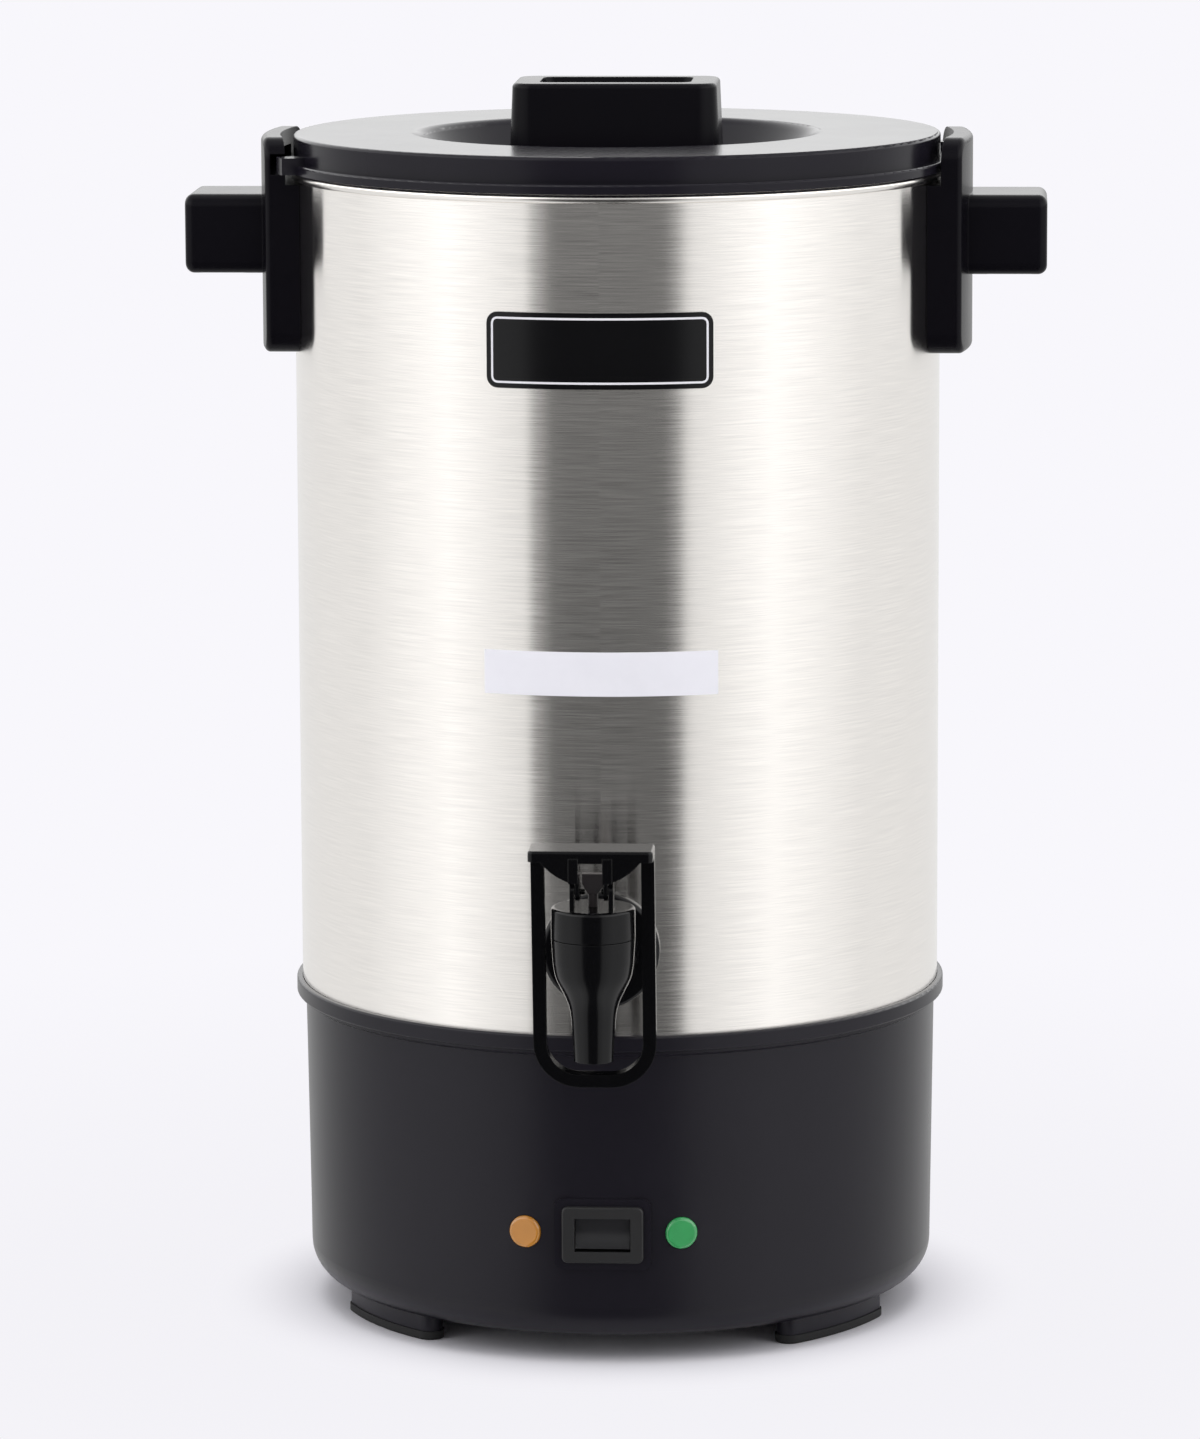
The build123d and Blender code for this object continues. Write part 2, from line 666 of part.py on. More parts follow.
with BuildPart() as wires:
    for route in wire_routes:
        with BuildLine() as wire_line:
            FilletPolyline(*route, radius=4)
        with BuildSketch(Plane(origin=wire_line.line @ 0, z_dir=wire_line.line % 0)):
            Circle(WIRE_R)
        sweep(path=wire_line.line)
wires.part.label = "wires"
export_step(wires.part, "parts/wires.step")

# ---------------------------------------------------------------- handles
with BuildPart() as handle_right:
    with BuildSketch(Plane.YZ.offset(90)):
        with Locations((0, (HANDLE_LOW_Z + HANDLE_TOP_Z) / 2)):
            RectangleRounded(HANDLE_W, HANDLE_TOP_Z - HANDLE_LOW_Z, 7)
    extrude(amount=40)
    with BuildSketch(Plane.XY.offset(HANDLE_LOW_Z - 5)):
        Circle(HANDLE_R)
        Circle(TANK_R + 0.05, mode=Mode.SUBTRACT)
    extrude(amount=90, mode=Mode.INTERSECT)
    fillet(handle_right.edges().sort_by_distance((HANDLE_R + 40, 0, 365))[:8], 2.0)
    # the grip, hollow from below
    with BuildSketch(Plane.YZ.offset(TANK_R + 6)):
        with Locations((0, (GRIP_LOW_Z + GRIP_TOP_Z) / 2)):
            RectangleRounded(GRIP_D, GRIP_TOP_Z - GRIP_LOW_Z, 4)
    extrude(amount=GRIP_X - TANK_R - 6)
    fillet(handle_right.edges().group_by(Axis.X)[-1], 3.0)
    with BuildSketch(Plane.XY.offset(GRIP_LOW_Z)):
        with Locations(((HANDLE_R + 3 + GRIP_X - 3) / 2, 0)):
            RectangleRounded(GRIP_X - HANDLE_R - 6, GRIP_D - 6, 3)
    extrude(amount=GRIP_TOP_Z - GRIP_LOW_Z - 3.5, mode=Mode.SUBTRACT)
    # above the tank's rim the wall stands clear of the lid's ring
    with BuildSketch(Plane.XY.offset(RIM_Z - 2 * BEAD_R - 0.7)):
        Circle(HANDLE_RIM_R)
    extrude(amount=30, mode=Mode.SUBTRACT)
    # bayonet groove, open at one end only
    with BuildSketch(Plane.XY.offset(GROOVE_LOW_Z)):
        with BuildLine():
            PolarLine((0, 0), GROOVE_R, 30)
            CenterArc((0, 0), GROOVE_R, GROOVE_END, 30 - GROOVE_END)
            PolarLine((0, 0), GROOVE_R, GROOVE_END)
        make_face()
    extrude(amount=GROOVE_TOP_Z - GROOVE_LOW_Z, mode=Mode.SUBTRACT)
    # blind holes for the screws from inside the tank
    with BuildSketch(Plane.YZ.offset(TANK_R - 2)):
        with Locations(*[(0, z) for z in HANDLE_SCREW_ZS]):
            Circle(2.05)
    extrude(amount=10.6, mode=Mode.SUBTRACT)
handle_right.part.label = "handle_right"
export_step(handle_right.part, "parts/handle_right.step")

with BuildPart() as handle_left:
    add(handle_right.part.rotate(Axis.Z, 180))
handle_left.part.label = "handle_left"
export_step(handle_left.part, "parts/handle_left.step")

with BuildPart() as handle_washers:
    for side in (-1, 1):
        with BuildSketch(Plane.YZ.offset(side * 106.35)):
            with Locations(*[(0, z) for z in HANDLE_SCREW_ZS]):
                Circle(5.0)
                Circle(2.1, mode=Mode.SUBTRACT)
        extrude(amount=side * 1.5)
handle_washers.part.label = "handle_washers"
export_step(handle_washers.part, "parts/handle_washers.step")

with BuildPart() as handle_screws:
    for side in (-1, 1):
        with BuildSketch(Plane.YZ.offset(side * 106.35)):
            with Locations(*[(0, z) for z in HANDLE_SCREW_ZS]):
                Circle(2.0)
        extrude(amount=side * 10.6)
        with BuildSketch(Plane.YZ.offset(side * 106.35)):
            with Locations(*[(0, z) for z in HANDLE_SCREW_ZS]):
                Circle(4.0)
        extrude(amount=-side * 2.4)
handle_screws.part.label = "handle_screws"
export_step(handle_screws.part, "parts/handle_screws.step")

# ------------------------------------------------------------------ the tap
with BuildPart() as tap_body:
    # bowl and spout
    with BuildSketch(Plane.XZ.offset(-BOWL_Y)):
        with BuildLine():
            outer_low = (SPOUT_R + 0.8, 126.0)
            outer_high = (13.1, 145.8)
            Polyline((0, SPOUT_Z), (SPOUT_R, SPOUT_Z), outer_low)
            Spline(outer_low, (8.35, 132.5), (12.1, 140.6), outer_high, tangents=((0.06, 1), (0.14, 1)))
            Polyline(outer_high, (BOWL_R, BOWL_TOP_Z), (0, BOWL_TOP_Z), (0, SPOUT_Z))
        make_face()
    revolve(axis=TAP_AXIS)
    # shoulder and threaded shank
    with BuildSketch(Plane.XZ.offset(-WASHER_FACE_Y)):
        with Locations((0, TAP_Z)):
            Circle(13.0)
    extrude(amount=WASHER_FACE_Y - BOWL_Y - 6, taper=2.5)
    with BuildSketch(Plane.XZ.offset(95)):
        with Locations((0, TAP_Z)):
            Circle(SHANK_R)
    extrude(amount=25)
    # bore of the shank
    with BuildSketch(Plane.XZ.offset(94)):
        with Locations((0, TAP_Z)):
            Circle(SHANK_BORE_R)
    extrude(amount=-94 - BOWL_Y, mode=Mode.SUBTRACT)
    # valve chamber, seat and outlet
    with BuildSketch(Plane.XZ.offset(-BOWL_Y)):
        with BuildLine():
            Polyline(
                (0, SPOUT_Z - 1),
                (SPOUT_BORE_R, SPOUT_Z - 1),
                (SPOUT_BORE_R, SEAT_Z),
                (7.2, SEAT_Z),
                (11.2, 147.5),
                (11.2, BOWL_TOP_Z + 1),
                (0, BOWL_TOP_Z + 1),
                close=True,
            )
        make_face()
    revolve(axis=TAP_AXIS, mode=Mode.SUBTRACT)
tap_body.part.label = "tap_body"
export_step(tap_body.part, "parts/tap_body.step")

with BuildPart() as tap_bonnet:
    with BuildSketch(Plane.XZ.offset(-BOWL_Y)) as bonnet_section:
        with BuildLine():
            Polyline(
                (9.0, 149.0),
                (11.1, 149.0),
                (11.1, BOWL_TOP_Z),
                (BOWL_R, BOWL_TOP_Z),
                (BOWL_R, BONNET_TOP_Z),
                (STEM_R + 0.08, BONNET_TOP_Z),
                (STEM_R + 0.08, BONNET_TOP_Z - 3.6),
                (9.0, BONNET_TOP_Z - 3.6),
                close=True,
            )
        make_face()
        rim_corner = bonnet_section.vertices().sort_by_distance((BOWL_R, BONNET_TOP_Z, 0))[0]
        fillet(rim_corner, 1.2)
        joint_corner = bonnet_section.vertices().sort_by_distance((BOWL_R, BOWL_TOP_Z, 0))[0]
        chamfer(joint_corner, 0.35)
    revolve(axis=TAP_AXIS)
    # two ears that carry the lever
    for side in (-1, 1):
        with BuildSketch(Plane.YZ.offset(side * (POST_IN_X + 1.6))):
            with Locations((PIVOT_Y, PIVOT_Z)):
                Circle(EAR_R)
            with Locations((PIVOT_Y, (BONNET_TOP_Z - 0.5 + PIVOT_Z) / 2)):
                Rectangle(2 * EAR_R, PIVOT_Z - BONNET_TOP_Z + 0.5)
            with Locations((PIVOT_Y, PIVOT_Z)):
                Circle(PIVOT_R + 0.06, mode=Mode.SUBTRACT)
        extrude(amount=side * (POST_OUT_X - POST_IN_X - 1.6))
tap_bonnet.part.label = "tap_bonnet"
export_step(tap_bonnet.part, "parts/tap_bonnet.step")

with BuildPart() as tap_washer_outer:
    with BuildSketch(Plane.XZ.offset(104)):
        with Locations((0, TAP_Z)):
            Circle(WASHER_R)
            Circle(SHANK_R + 0.1, mode=Mode.SUBTRACT)
    extrude(amount=-WASHER_FACE_Y - 104)
    fillet(tap_washer_outer.edges().group_by(Axis.Y)[0].sort_by(SortBy.LENGTH)[-1], 1.6)
    Cylinder(TANK_R + 0.03, 500, mode=Mode.SUBTRACT)
tap_washer_outer.part.label = "tap_washer_outer"
export_step(tap_washer_outer.part, "parts/tap_washer_outer.step")

with BuildPart() as tap_washer_inner:
    with BuildSketch(Plane.XZ.offset(104.8)):
        with Locations((0, TAP_Z)):
            Circle(14.5)
            Circle(SHANK_R + 0.1, mode=Mode.SUBTRACT)
    extrude(amount=8)
    Cylinder(TANK_IN_R - 0.03, 500, mode=Mode.INTERSECT)
tap_washer_inner.part.label = "tap_washer_inner"
export_step(tap_washer_inner.part, "parts/tap_washer_inner.step")

with BuildPart() as tap_nut:
    with BuildSketch(Plane.XZ.offset(97)):
        with Locations((0, TAP_Z)):
            RegularPolygon(15.0, 6)
            Circle(SHANK_R + 0.05, mode=Mode.SUBTRACT)
    extrude(amount=7.8)
    chamfer(tap_nut.edges().group_by(Axis.Y)[-1].filter_by(GeomType.LINE), 0.8)
tap_nut.part.label = "tap_nut"
export_step(tap_nut.part, "parts/tap_nut.step")

# lever: thumb plate, front web, two cheeks on the pivot and a loop a cup can push
PLATE_LOW_Z = LEVER_TOP_Z - LEVER_T
LOOP_TOP_Y = LEVER_REAR_Y - 1.9
LOOP_TOP_Z = PLATE_LOW_Z + 0.7
LOOP_RUN = Vector(0, LOOP_TOP_Y - LOOP_LOW_Y, LOOP_TOP_Z - LOOP_LOW_Z)
with BuildPart() as tap_lever:
    with BuildSketch(Plane.XY.offset(PLATE_LOW_Z)):
        with Locations((0, (LEVER_FRONT_Y + LEVER_REAR_Y) / 2)):
            RectangleRounded(LEVER_W, LEVER_REAR_Y - LEVER_FRONT_Y, 1.8)
    extrude(amount=LEVER_T)
    fillet(tap_lever.edges().group_by(Axis.Z)[-1], 0.8)
    # D-shaped web under the front edge, with a window between the cheeks
    with BuildSketch(Plane.XZ.offset(-LEVER_FRONT_Y - 2.8)):
        with Locations((0, 194.1)):
            Circle(20.5)
        with Locations((0, PLATE_LOW_Z - 4.5)):
            Rectangle(32.4, 10, mode=Mode.INTERSECT)
        with Locations((0, 175.3)):
            Rectangle(2 * POST_OUT_X, 11.2, mode=Mode.SUBTRACT)
    extrude(amount=2.8)
    for side in (-1, 1):
        # rib over the ear, cut back to swing round it
        with BuildSketch(Plane.YZ.offset(side * POST_IN_X)):
            with Locations(((LEVER_FRONT_Y - 0.4 - 155.1) / 2, 178.4)):
                Rectangle(-155.1 - LEVER_FRONT_Y + 0.4, 8.0)
            with Locations((PIVOT_Y, PIVOT_Z)):
                Circle(EAR_R + 0.35, mode=Mode.SUBTRACT)
        extrude(amount=side * (POST_OUT_X - POST_IN_X))
        # cheek inside the ear, with an arm back to the valve stem
        with BuildSketch(Plane.YZ.offset(side * POST_IN_X)):
            with Locations((PIVOT_Y, PIVOT_Z)):
                Circle(EAR_R)
            with Locations((PIVOT_Y, (PIVOT_Z + PLATE_LOW_Z) / 2)):
                Rectangle(2 * EAR_R, PLATE_LOW_Z - PIVOT_Z)
            with BuildLine():
                Polyline(
                    (PIVOT_Y, PIVOT_Z - EAR_R),
                    (HOOK_Y + 1.4, HOOK_Z - 1.4),
                    (HOOK_Y + 1.4, HOOK_Z + 1.4),
                    (PIVOT_Y, PIVOT_Z + EAR_R),
                    close=True,
                )
            make_face()
        extrude(amount=side * 1.35)
        # trunnion outwards, hook inwards
        with BuildSketch(Plane.YZ.offset(side * (POST_IN_X + 1.2))):
            with Locations((PIVOT_Y, PIVOT_Z)):
                Circle(PIVOT_R)
        extrude(amount=side * (POST_OUT_X - POST_IN_X - 1.2))
        with BuildSketch(Plane.YZ.offset(side * (POST_IN_X + 0.5))):
            with Locations((HOOK_Y, HOOK_Z)):
                Circle(HOOK_R)
        extrude(amount=-side * 1.7)
    # the loop, leaning back towards the tank as it goes down
    loop_plane = Plane(
        origin=(0, LOOP_TOP_Y, LOOP_TOP_Z), x_dir=(1, 0, 0), z_dir=Vector(1, 0, 0).cross(LOOP_RUN)
    )
    leg_x = (LOOP_W - LOOP_BAR) / 2
    leg_y = LOOP_BAR / 2 - LOOP_RUN.length
    with BuildSketch(loop_plane):
        with BuildLine():
            FilletPolyline((-leg_x, 0), (-leg_x, leg_y), (leg_x, leg_y), (leg_x, 0), radius=13)
        trace(line_width=LOOP_BAR)
    extrude(amount=LOOP_T / 2, both=True)
tap_lever.part.label = "tap_lever"
export_step(tap_lever.part, "parts/tap_lever.step")

# valve stem, its silicone cup and its spring
COLLAR_Z = 143.0
with BuildPart() as valve_stem:
    with BuildSketch(Plane.XY.offset(SEAT_Z + 3.5)):
        with Locations((0, BOWL_Y)):
            Circle(STEM_R)
    extrude(amount=168.6 - SEAT_Z - 3.5)
    with BuildSketch(Plane.XY.offset(COLLAR_Z)):
        with Locations((0, BOWL_Y)):
            Circle(5.2)
    extrude(amount=1)
    # flat head that the lever's hooks lift
    with BuildSketch(Plane.XZ.offset(-BOWL_Y - 1.5)):
        with BuildLine():
            Polyline((-1.6, 168.4), (1.6, 168.4), (3.5, 171.8), (3.5, 174.8), (-3.5, 174.8), (-3.5, 171.8), close=True)
        make_face()
    extrude(amount=3)
valve_stem.part.label = "valve_stem"
export_step(valve_stem.part, "parts/valve_stem.step")

with BuildPart() as seat_cup:
    with BuildSketch(Plane.XZ.offset(-BOWL_Y)):
        with BuildLine():
            Polyline(
                (0, SEAT_Z),
                (6.4, SEAT_Z),
                (6.4, SEAT_Z + 2.5),
                (3.6, COLLAR_Z),
                (STEM_R + 0.05, COLLAR_Z),
                (STEM_R + 0.05, SEAT_Z + 3.5),
                (0, SEAT_Z + 3.5),
                close=True,
            )
        make_face()
    revolve(axis=TAP_AXIS)
seat_cup.part.label = "seat_cup"
export_step(seat_cup.part, "parts/seat_cup.step")

SPRING_R = 4.4
SPRING_WIRE_R = 0.45
with BuildPart() as valve_spring:
    with BuildLine():
        coil = Helix(2.8, 15.4, SPRING_R, center=(0, BOWL_Y, COLLAR_Z + 1.5))
    with BuildSketch(Plane(origin=coil @ 0, z_dir=coil % 0)):
        Circle(SPRING_WIRE_R)
    sweep(path=coil, is_frenet=True)
valve_spring.part.label = "valve_spring"
export_step(valve_spring.part, "parts/valve_spring.step")

# --------------------------------------------------------------- percolator
FOOT_BELL_Z = WELL_BOTTOM_Z + 3.0
with BuildPart() as pump_tube:
    with BuildSketch(Plane.XZ):
        with BuildLine():
            Polyline(
                (TUBE_R - TUBE_WALL, 116.0),
                (TUBE_R, 116.0),
                (TUBE_R, BASKET_LOW_Z - 3),
                (TUBE_R + 4.5, BASKET_LOW_Z - 3),
                (TUBE_R + 4.5, BASKET_LOW_Z),
                (TUBE_R, BASKET_LOW_Z),
                (TUBE_R, TUBE_TOP_Z),
                (TUBE_R - TUBE_WALL, TUBE_TOP_Z),
                close=True,
            )
        make_face()
    revolve(axis=Axis.Z)
pump_tube.part.label = "pump_tube"
export_step(pump_tube.part, "parts/pump_tube.step")

with BuildPart() as pump_foot:
    # a bell that stands in the heater well, with a perforated floor plate
    with BuildSketch(Plane.XZ):
        with BuildLine():
            Polyline(
                (4.0, FOOT_BELL_Z + 0.05),
                (FOOT_BELL_R, FOOT_BELL_Z + 0.05),
                (FOOT_BELL_R, FOOT_BELL_Z + 2.5),
                (TUBE_R + 1.5, 117.5),
                (TUBE_R + 1.5, 123.0),
                (TUBE_R, 123.0),
                (TUBE_R, 116.0),
                (TUBE_R - 1.2, 115.0),
                (FOOT_BELL_R - 2.2, FOOT_BELL_Z + 2.0),
                (FOOT_BELL_R - 2.2, FOOT_BELL_Z + 1.3),
                (4.0, FOOT_BELL_Z + 1.3),
                close=True,
            )
        make_face()
    revolve(axis=Axis.Z)
    with BuildSketch(Plane.XY.offset(FOOT_BELL_Z)):
        with PolarLocations(14.5, 8):
            Circle(1.8)
    extrude(amount=1.6, mode=Mode.SUBTRACT)
pump_foot.part.label = "pump_foot"
export_step(pump_foot.part, "parts/pump_foot.step")

with BuildPart() as pump_valve:
    with BuildSketch(Plane.XY.offset(FOOT_BELL_Z + 1.35)):
        Circle(7.0)
    extrude(amount=1.0)
pump_valve.part.label = "pump_valve"
export_step(pump_valve.part, "parts/pump_valve.step")

with BuildPart() as filter_basket:
    with BuildSketch(Plane.XZ) as basket_section:
        with BuildLine():
            Polyline(
                (BASKET_R - 9, BASKET_LOW_Z),
                (BASKET_R, BASKET_LOW_Z),
                (BASKET_R, BASKET_TOP_Z - 1),
                (BASKET_R + 2, BASKET_TOP_Z - 1),
                (BASKET_R + 2, BASKET_TOP_Z),
                (BASKET_R - 1, BASKET_TOP_Z),
                (BASKET_R - 1, BASKET_LOW_Z + 1),
                (BASKET_R - 9, BASKET_LOW_Z + 1),
                close=True,
            )
        make_face()
        fillet(basket_section.vertices().sort_by_distance((BASKET_R, BASKET_LOW_Z, 0))[0], 2.4)
        fillet(basket_section.vertices().sort_by_distance((BASKET_R - 1, BASKET_LOW_Z + 1, 0))[0], 1.4)
    revolve(axis=Axis.Z)
filter_basket.part.label = "filter_basket"
export_step(filter_basket.part, "parts/filter_basket.step")

with BuildPart() as basket_floor:
    with BuildSketch(Plane.XY.offset(BASKET_LOW_Z + 1)):
        Circle(BASKET_R - 2.8)
        Circle(SLEEVE_R, mode=Mode.SUBTRACT)
        # three rings of radial slots
        for slot_ring_r, slot_count in ((17, 16), (29, 24), (41, 32)):
            with PolarLocations(slot_ring_r, slot_count):
                Rectangle(7.5, 1.2, mode=Mode.SUBTRACT)
    extrude(amount=1)
    with BuildSketch(Plane.XY.offset(BASKET_LOW_Z + 1)):
        Circle(SLEEVE_R + 1)
        Circle(SLEEVE_R, mode=Mode.SUBTRACT)
    extrude(amount=66)
basket_floor.part.label = "basket_floor"
export_step(basket_floor.part, "parts/basket_floor.step")

with BuildPart() as spreader:
    with BuildSketch(Plane.XZ):
        with BuildLine():
            Polyline(
                (SLEEVE_R, BASKET_TOP_Z - 7),
                (BASKET_R - 3.2, BASKET_TOP_Z - 7),
                (BASKET_R - 3.2, BASKET_TOP_Z),
                (BASKET_R + 1.6, BASKET_TOP_Z),
                (BASKET_R + 1.6, BASKET_TOP_Z + 1),
                (BASKET_R - 4.2, BASKET_TOP_Z + 1),
                (BASKET_R - 4.2, BASKET_TOP_Z - 6),
                (SLEEVE_R + 1, BASKET_TOP_Z - 6),
                (SLEEVE_R + 1, BASKET_TOP_Z + 2),
                (SLEEVE_R, BASKET_TOP_Z + 2),
                close=True,
            )
        make_face()
    revolve(axis=Axis.Z)
    with BuildSketch(Plane.XY.offset(BASKET_TOP_Z - 7)):
        for hole_ring_r, hole_count in ((20, 10), (34, 16), (48, 22)):
            with PolarLocations(hole_ring_r, hole_count):
                Circle(1.4)
    extrude(amount=1, mode=Mode.SUBTRACT)
spreader.part.label = "spreader"
export_step(spreader.part, "parts/spreader.step")

# ---------------------------------------------------------------------- lid
SPIGOT_R = 105.0
SPIGOT_WALL = 2.4
SPIGOT_LOW_Z = 379.5
SEAL_POCKET_Z = 391.2
with BuildPart() as lid:
    with BuildSketch(Plane.XZ) as lid_section:
        with BuildLine():
            Polyline(
                (0, DISH_FLOOR_Z),
                (DISH_FLOOR_R, DISH_FLOOR_Z),
                (DISH_R, LID_TOP_Z),
                (LID_R, LID_TOP_Z),
                (LID_R, LID_RING_Z + LID_RING_T),
                (LID_RING_R, LID_RING_Z + LID_RING_T),
                (LID_RING_R, LID_RING_Z),
                (LID_RING_R - 2.2, LID_RING_Z),
                (LID_RING_R - 2.2, SEAL_POCKET_Z),
                (SPIGOT_R, SEAL_POCKET_Z),
                (SPIGOT_R, SPIGOT_LOW_Z),
                (SPIGOT_R - SPIGOT_WALL, SPIGOT_LOW_Z),
                (SPIGOT_R - SPIGOT_WALL, LID_TOP_Z - LID_WALL),
                (DISH_R + 1.2, LID_TOP_Z - LID_WALL),
                (DISH_FLOOR_R + 1.2, DISH_FLOOR_Z - LID_WALL),
                (0, DISH_FLOOR_Z - LID_WALL),
                close=True,
            )
        make_face()
        for corner_r, corner_z, corner_fillet in (
            (DISH_FLOOR_R, DISH_FLOOR_Z, 5.0),
            (DISH_R, LID_TOP_Z, 4.0),
            (LID_R, LID_TOP_Z, 1.2),
            (LID_RING_R, LID_RING_Z + LID_RING_T, 0.7),
            (DISH_R + 1.2, LID_TOP_Z - LID_WALL, 2.0),
            (DISH_FLOOR_R + 1.2, DISH_FLOOR_Z - LID_WALL, 4.0),
        ):
            corners = lid_section.vertices()
            fillet(corners.sort_by_distance((corner_r, corner_z, 0))[0], corner_fillet)
    revolve(axis=Axis.Z)
    # two bayonet lugs, opposite each other
    lug_w = 2 * LUG_R * sin(radians(LUG_SPAN / 2))
    for lug_low_z, lug_root_r in ((LID_RING_Z + 0.1, LID_RING_R - 2.0), (LID_RING_Z + 2.4, LID_R - 1.5)):
        with BuildSketch(Plane.XY.offset(lug_low_z)):
            with PolarLocations(0, 2, start_angle=LUG_ANGLE):
                with Locations((LUG_R - 4, 0)):
                    Rectangle(10, lug_w)
            Circle(LUG_R, mode=Mode.INTERSECT)
            Circle(lug_root_r, mode=Mode.SUBTRACT)
        extrude(amount=LID_RING_Z + 0.1 + LUG_T - lug_low_z)
    # screw holes under the knob
    with BuildSketch(Plane.XY.offset(DISH_FLOOR_Z - LID_WALL)):
        with Locations((-20, 0), (20, 0)):
            Circle(2.2)
    extrude(amount=LID_WALL, mode=Mode.SUBTRACT)
lid.part.label = "lid"
export_step(lid.part, "parts/lid.step")

with BuildPart() as lid_seal:
    with BuildSketch(Plane.XZ):
        with BuildLine():
            Polyline(
                (SPIGOT_R + 0.35, 381.0),
                (SPIGOT_R + 1.4, 381.0),
                (SPIGOT_R + 1.4, RIM_Z + 0.05),
                (LID_RING_R - 2.5, RIM_Z + 0.05),
                (LID_RING_R - 2.5, SEAL_POCKET_Z - 0.3),
                (SPIGOT_R + 0.35, SEAL_POCKET_Z - 0.3),
                close=True,
            )
        make_face()
    revolve(axis=Axis.Z)
lid_seal.part.label = "lid_seal"
export_step(lid_seal.part, "parts/lid_seal.step")

with BuildPart() as knob:
    with BuildSketch(Plane.XY.offset(DISH_FLOOR_Z)):
        RectangleRounded(KNOB_W, KNOB_D, 8)
    extrude(amount=KNOB_TOP_Z - DISH_FLOOR_Z, taper=KNOB_DRAFT)
    fillet(knob.edges().group_by(Axis.Z)[-1], 1.6)
    # shallow pocket in the top
    with BuildSketch(Plane.XY.offset(KNOB_TOP_Z)):
        RectangleRounded(51, 26, 4)
    extrude(amount=-3, taper=10, mode=Mode.SUBTRACT)
    # hollow from below, round two screw posts
    with BuildSketch(Plane.XY.offset(DISH_FLOOR_Z)):
        RectangleRounded(KNOB_W - 7, KNOB_D - 7, 4.5)
        with Locations((-20, 0), (20, 0)):
            Circle(4.5, mode=Mode.SUBTRACT)
    extrude(amount=KNOB_TOP_Z - DISH_FLOOR_Z - 6.5, taper=KNOB_DRAFT, mode=Mode.SUBTRACT)
    with BuildSketch(Plane.XY.offset(DISH_FLOOR_Z)):
        with Locations((-20, 0), (20, 0)):
            Circle(1.95)
    extrude(amount=10, mode=Mode.SUBTRACT)
knob.part.label = "knob"
export_step(knob.part, "parts/knob.step")

with BuildPart() as knob_screws:
    with BuildSketch(Plane.XY.offset(DISH_FLOOR_Z - LID_WALL)):
        with Locations((-20, 0), (20, 0)):
            Circle(4.0)
    extrude(amount=-2.2)
    with BuildSketch(Plane.XY.offset(DISH_FLOOR_Z - LID_WALL)):
        with Locations((-20, 0), (20, 0)):
            Circle(1.9)
    extrude(amount=11)
knob_screws.part.label = "knob_screws"
export_step(knob_screws.part, "parts/knob_screws.step")
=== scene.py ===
"""Coffee urn: finishes, rim bead, tap spring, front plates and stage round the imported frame."""

from math import atan2, cos, hypot, pi, radians, sin

import bmesh
import bpy
from mathutils import Matrix, Vector


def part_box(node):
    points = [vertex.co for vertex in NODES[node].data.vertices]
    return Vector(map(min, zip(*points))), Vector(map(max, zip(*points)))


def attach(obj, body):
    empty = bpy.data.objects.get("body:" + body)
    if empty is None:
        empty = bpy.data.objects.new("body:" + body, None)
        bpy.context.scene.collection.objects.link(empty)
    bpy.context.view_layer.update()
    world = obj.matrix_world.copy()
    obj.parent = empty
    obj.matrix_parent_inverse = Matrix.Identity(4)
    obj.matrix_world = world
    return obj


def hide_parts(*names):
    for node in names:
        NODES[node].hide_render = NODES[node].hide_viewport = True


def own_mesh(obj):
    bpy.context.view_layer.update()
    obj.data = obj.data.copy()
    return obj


bl_info = {
    "name": "Coffee urn",
    "version": (1, 0, 0),
    "blender": (4, 5, 0),
    "location": "View3D > Sidebar > Coffee urn",
    "description": "Dresses a percolating coffee urn: steel, mouldings, plates, stage and camera",
    "category": "Object",
}

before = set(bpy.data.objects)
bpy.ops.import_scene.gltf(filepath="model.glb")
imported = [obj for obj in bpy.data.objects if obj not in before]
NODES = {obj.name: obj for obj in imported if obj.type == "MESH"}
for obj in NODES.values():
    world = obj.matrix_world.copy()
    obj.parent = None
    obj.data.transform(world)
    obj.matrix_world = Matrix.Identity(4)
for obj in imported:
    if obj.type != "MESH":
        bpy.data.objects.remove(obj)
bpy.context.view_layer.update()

# sizes are in metres
BEAD_PROUD = 0.001  # the rim's bead stands this far out of the tank's wall
TANK_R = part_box("tank")[1].x - BEAD_PROUD
MERGE = 1e-6  # points closer together than this become one

PLATE_GAP = 0.00002
BADGE_THICKNESS = 0.0005
BADGE_FACE = 0.0004  # the badge's front lies further out of the tank's wall than this
BADGE_MARGIN = 0.0016
BADGE_LINE = 0.0007
STICKER_THICKNESS = 0.00015

# the rim bead's round section: its radius, then places in from the wall and down from the rim
BEAD_R = 0.0016
BEAD_IN = 0.00055
BEAD_DOWN = 0.00155
BEAD_CUT_IN = 0.001
BEAD_CUT_LOW = 0.004
BEAD_CUT_HIGH = 0.0003

SPRING_TURNS = 5.5
SPRING_POINTS = 24  # points in each turn
SPRING_WIRE_R = 0.00045


# ------------------------------------------------------------------ settings
def length(name, description, default):
    """A setting in metres."""
    return bpy.props.FloatProperty(
        name=name, description=description, default=default, unit="LENGTH"
    )


def shade(name, description, default):
    """A colour setting."""
    return bpy.props.FloatVectorProperty(
        name=name, description=description, default=default, subtype="COLOR", size=3
    )


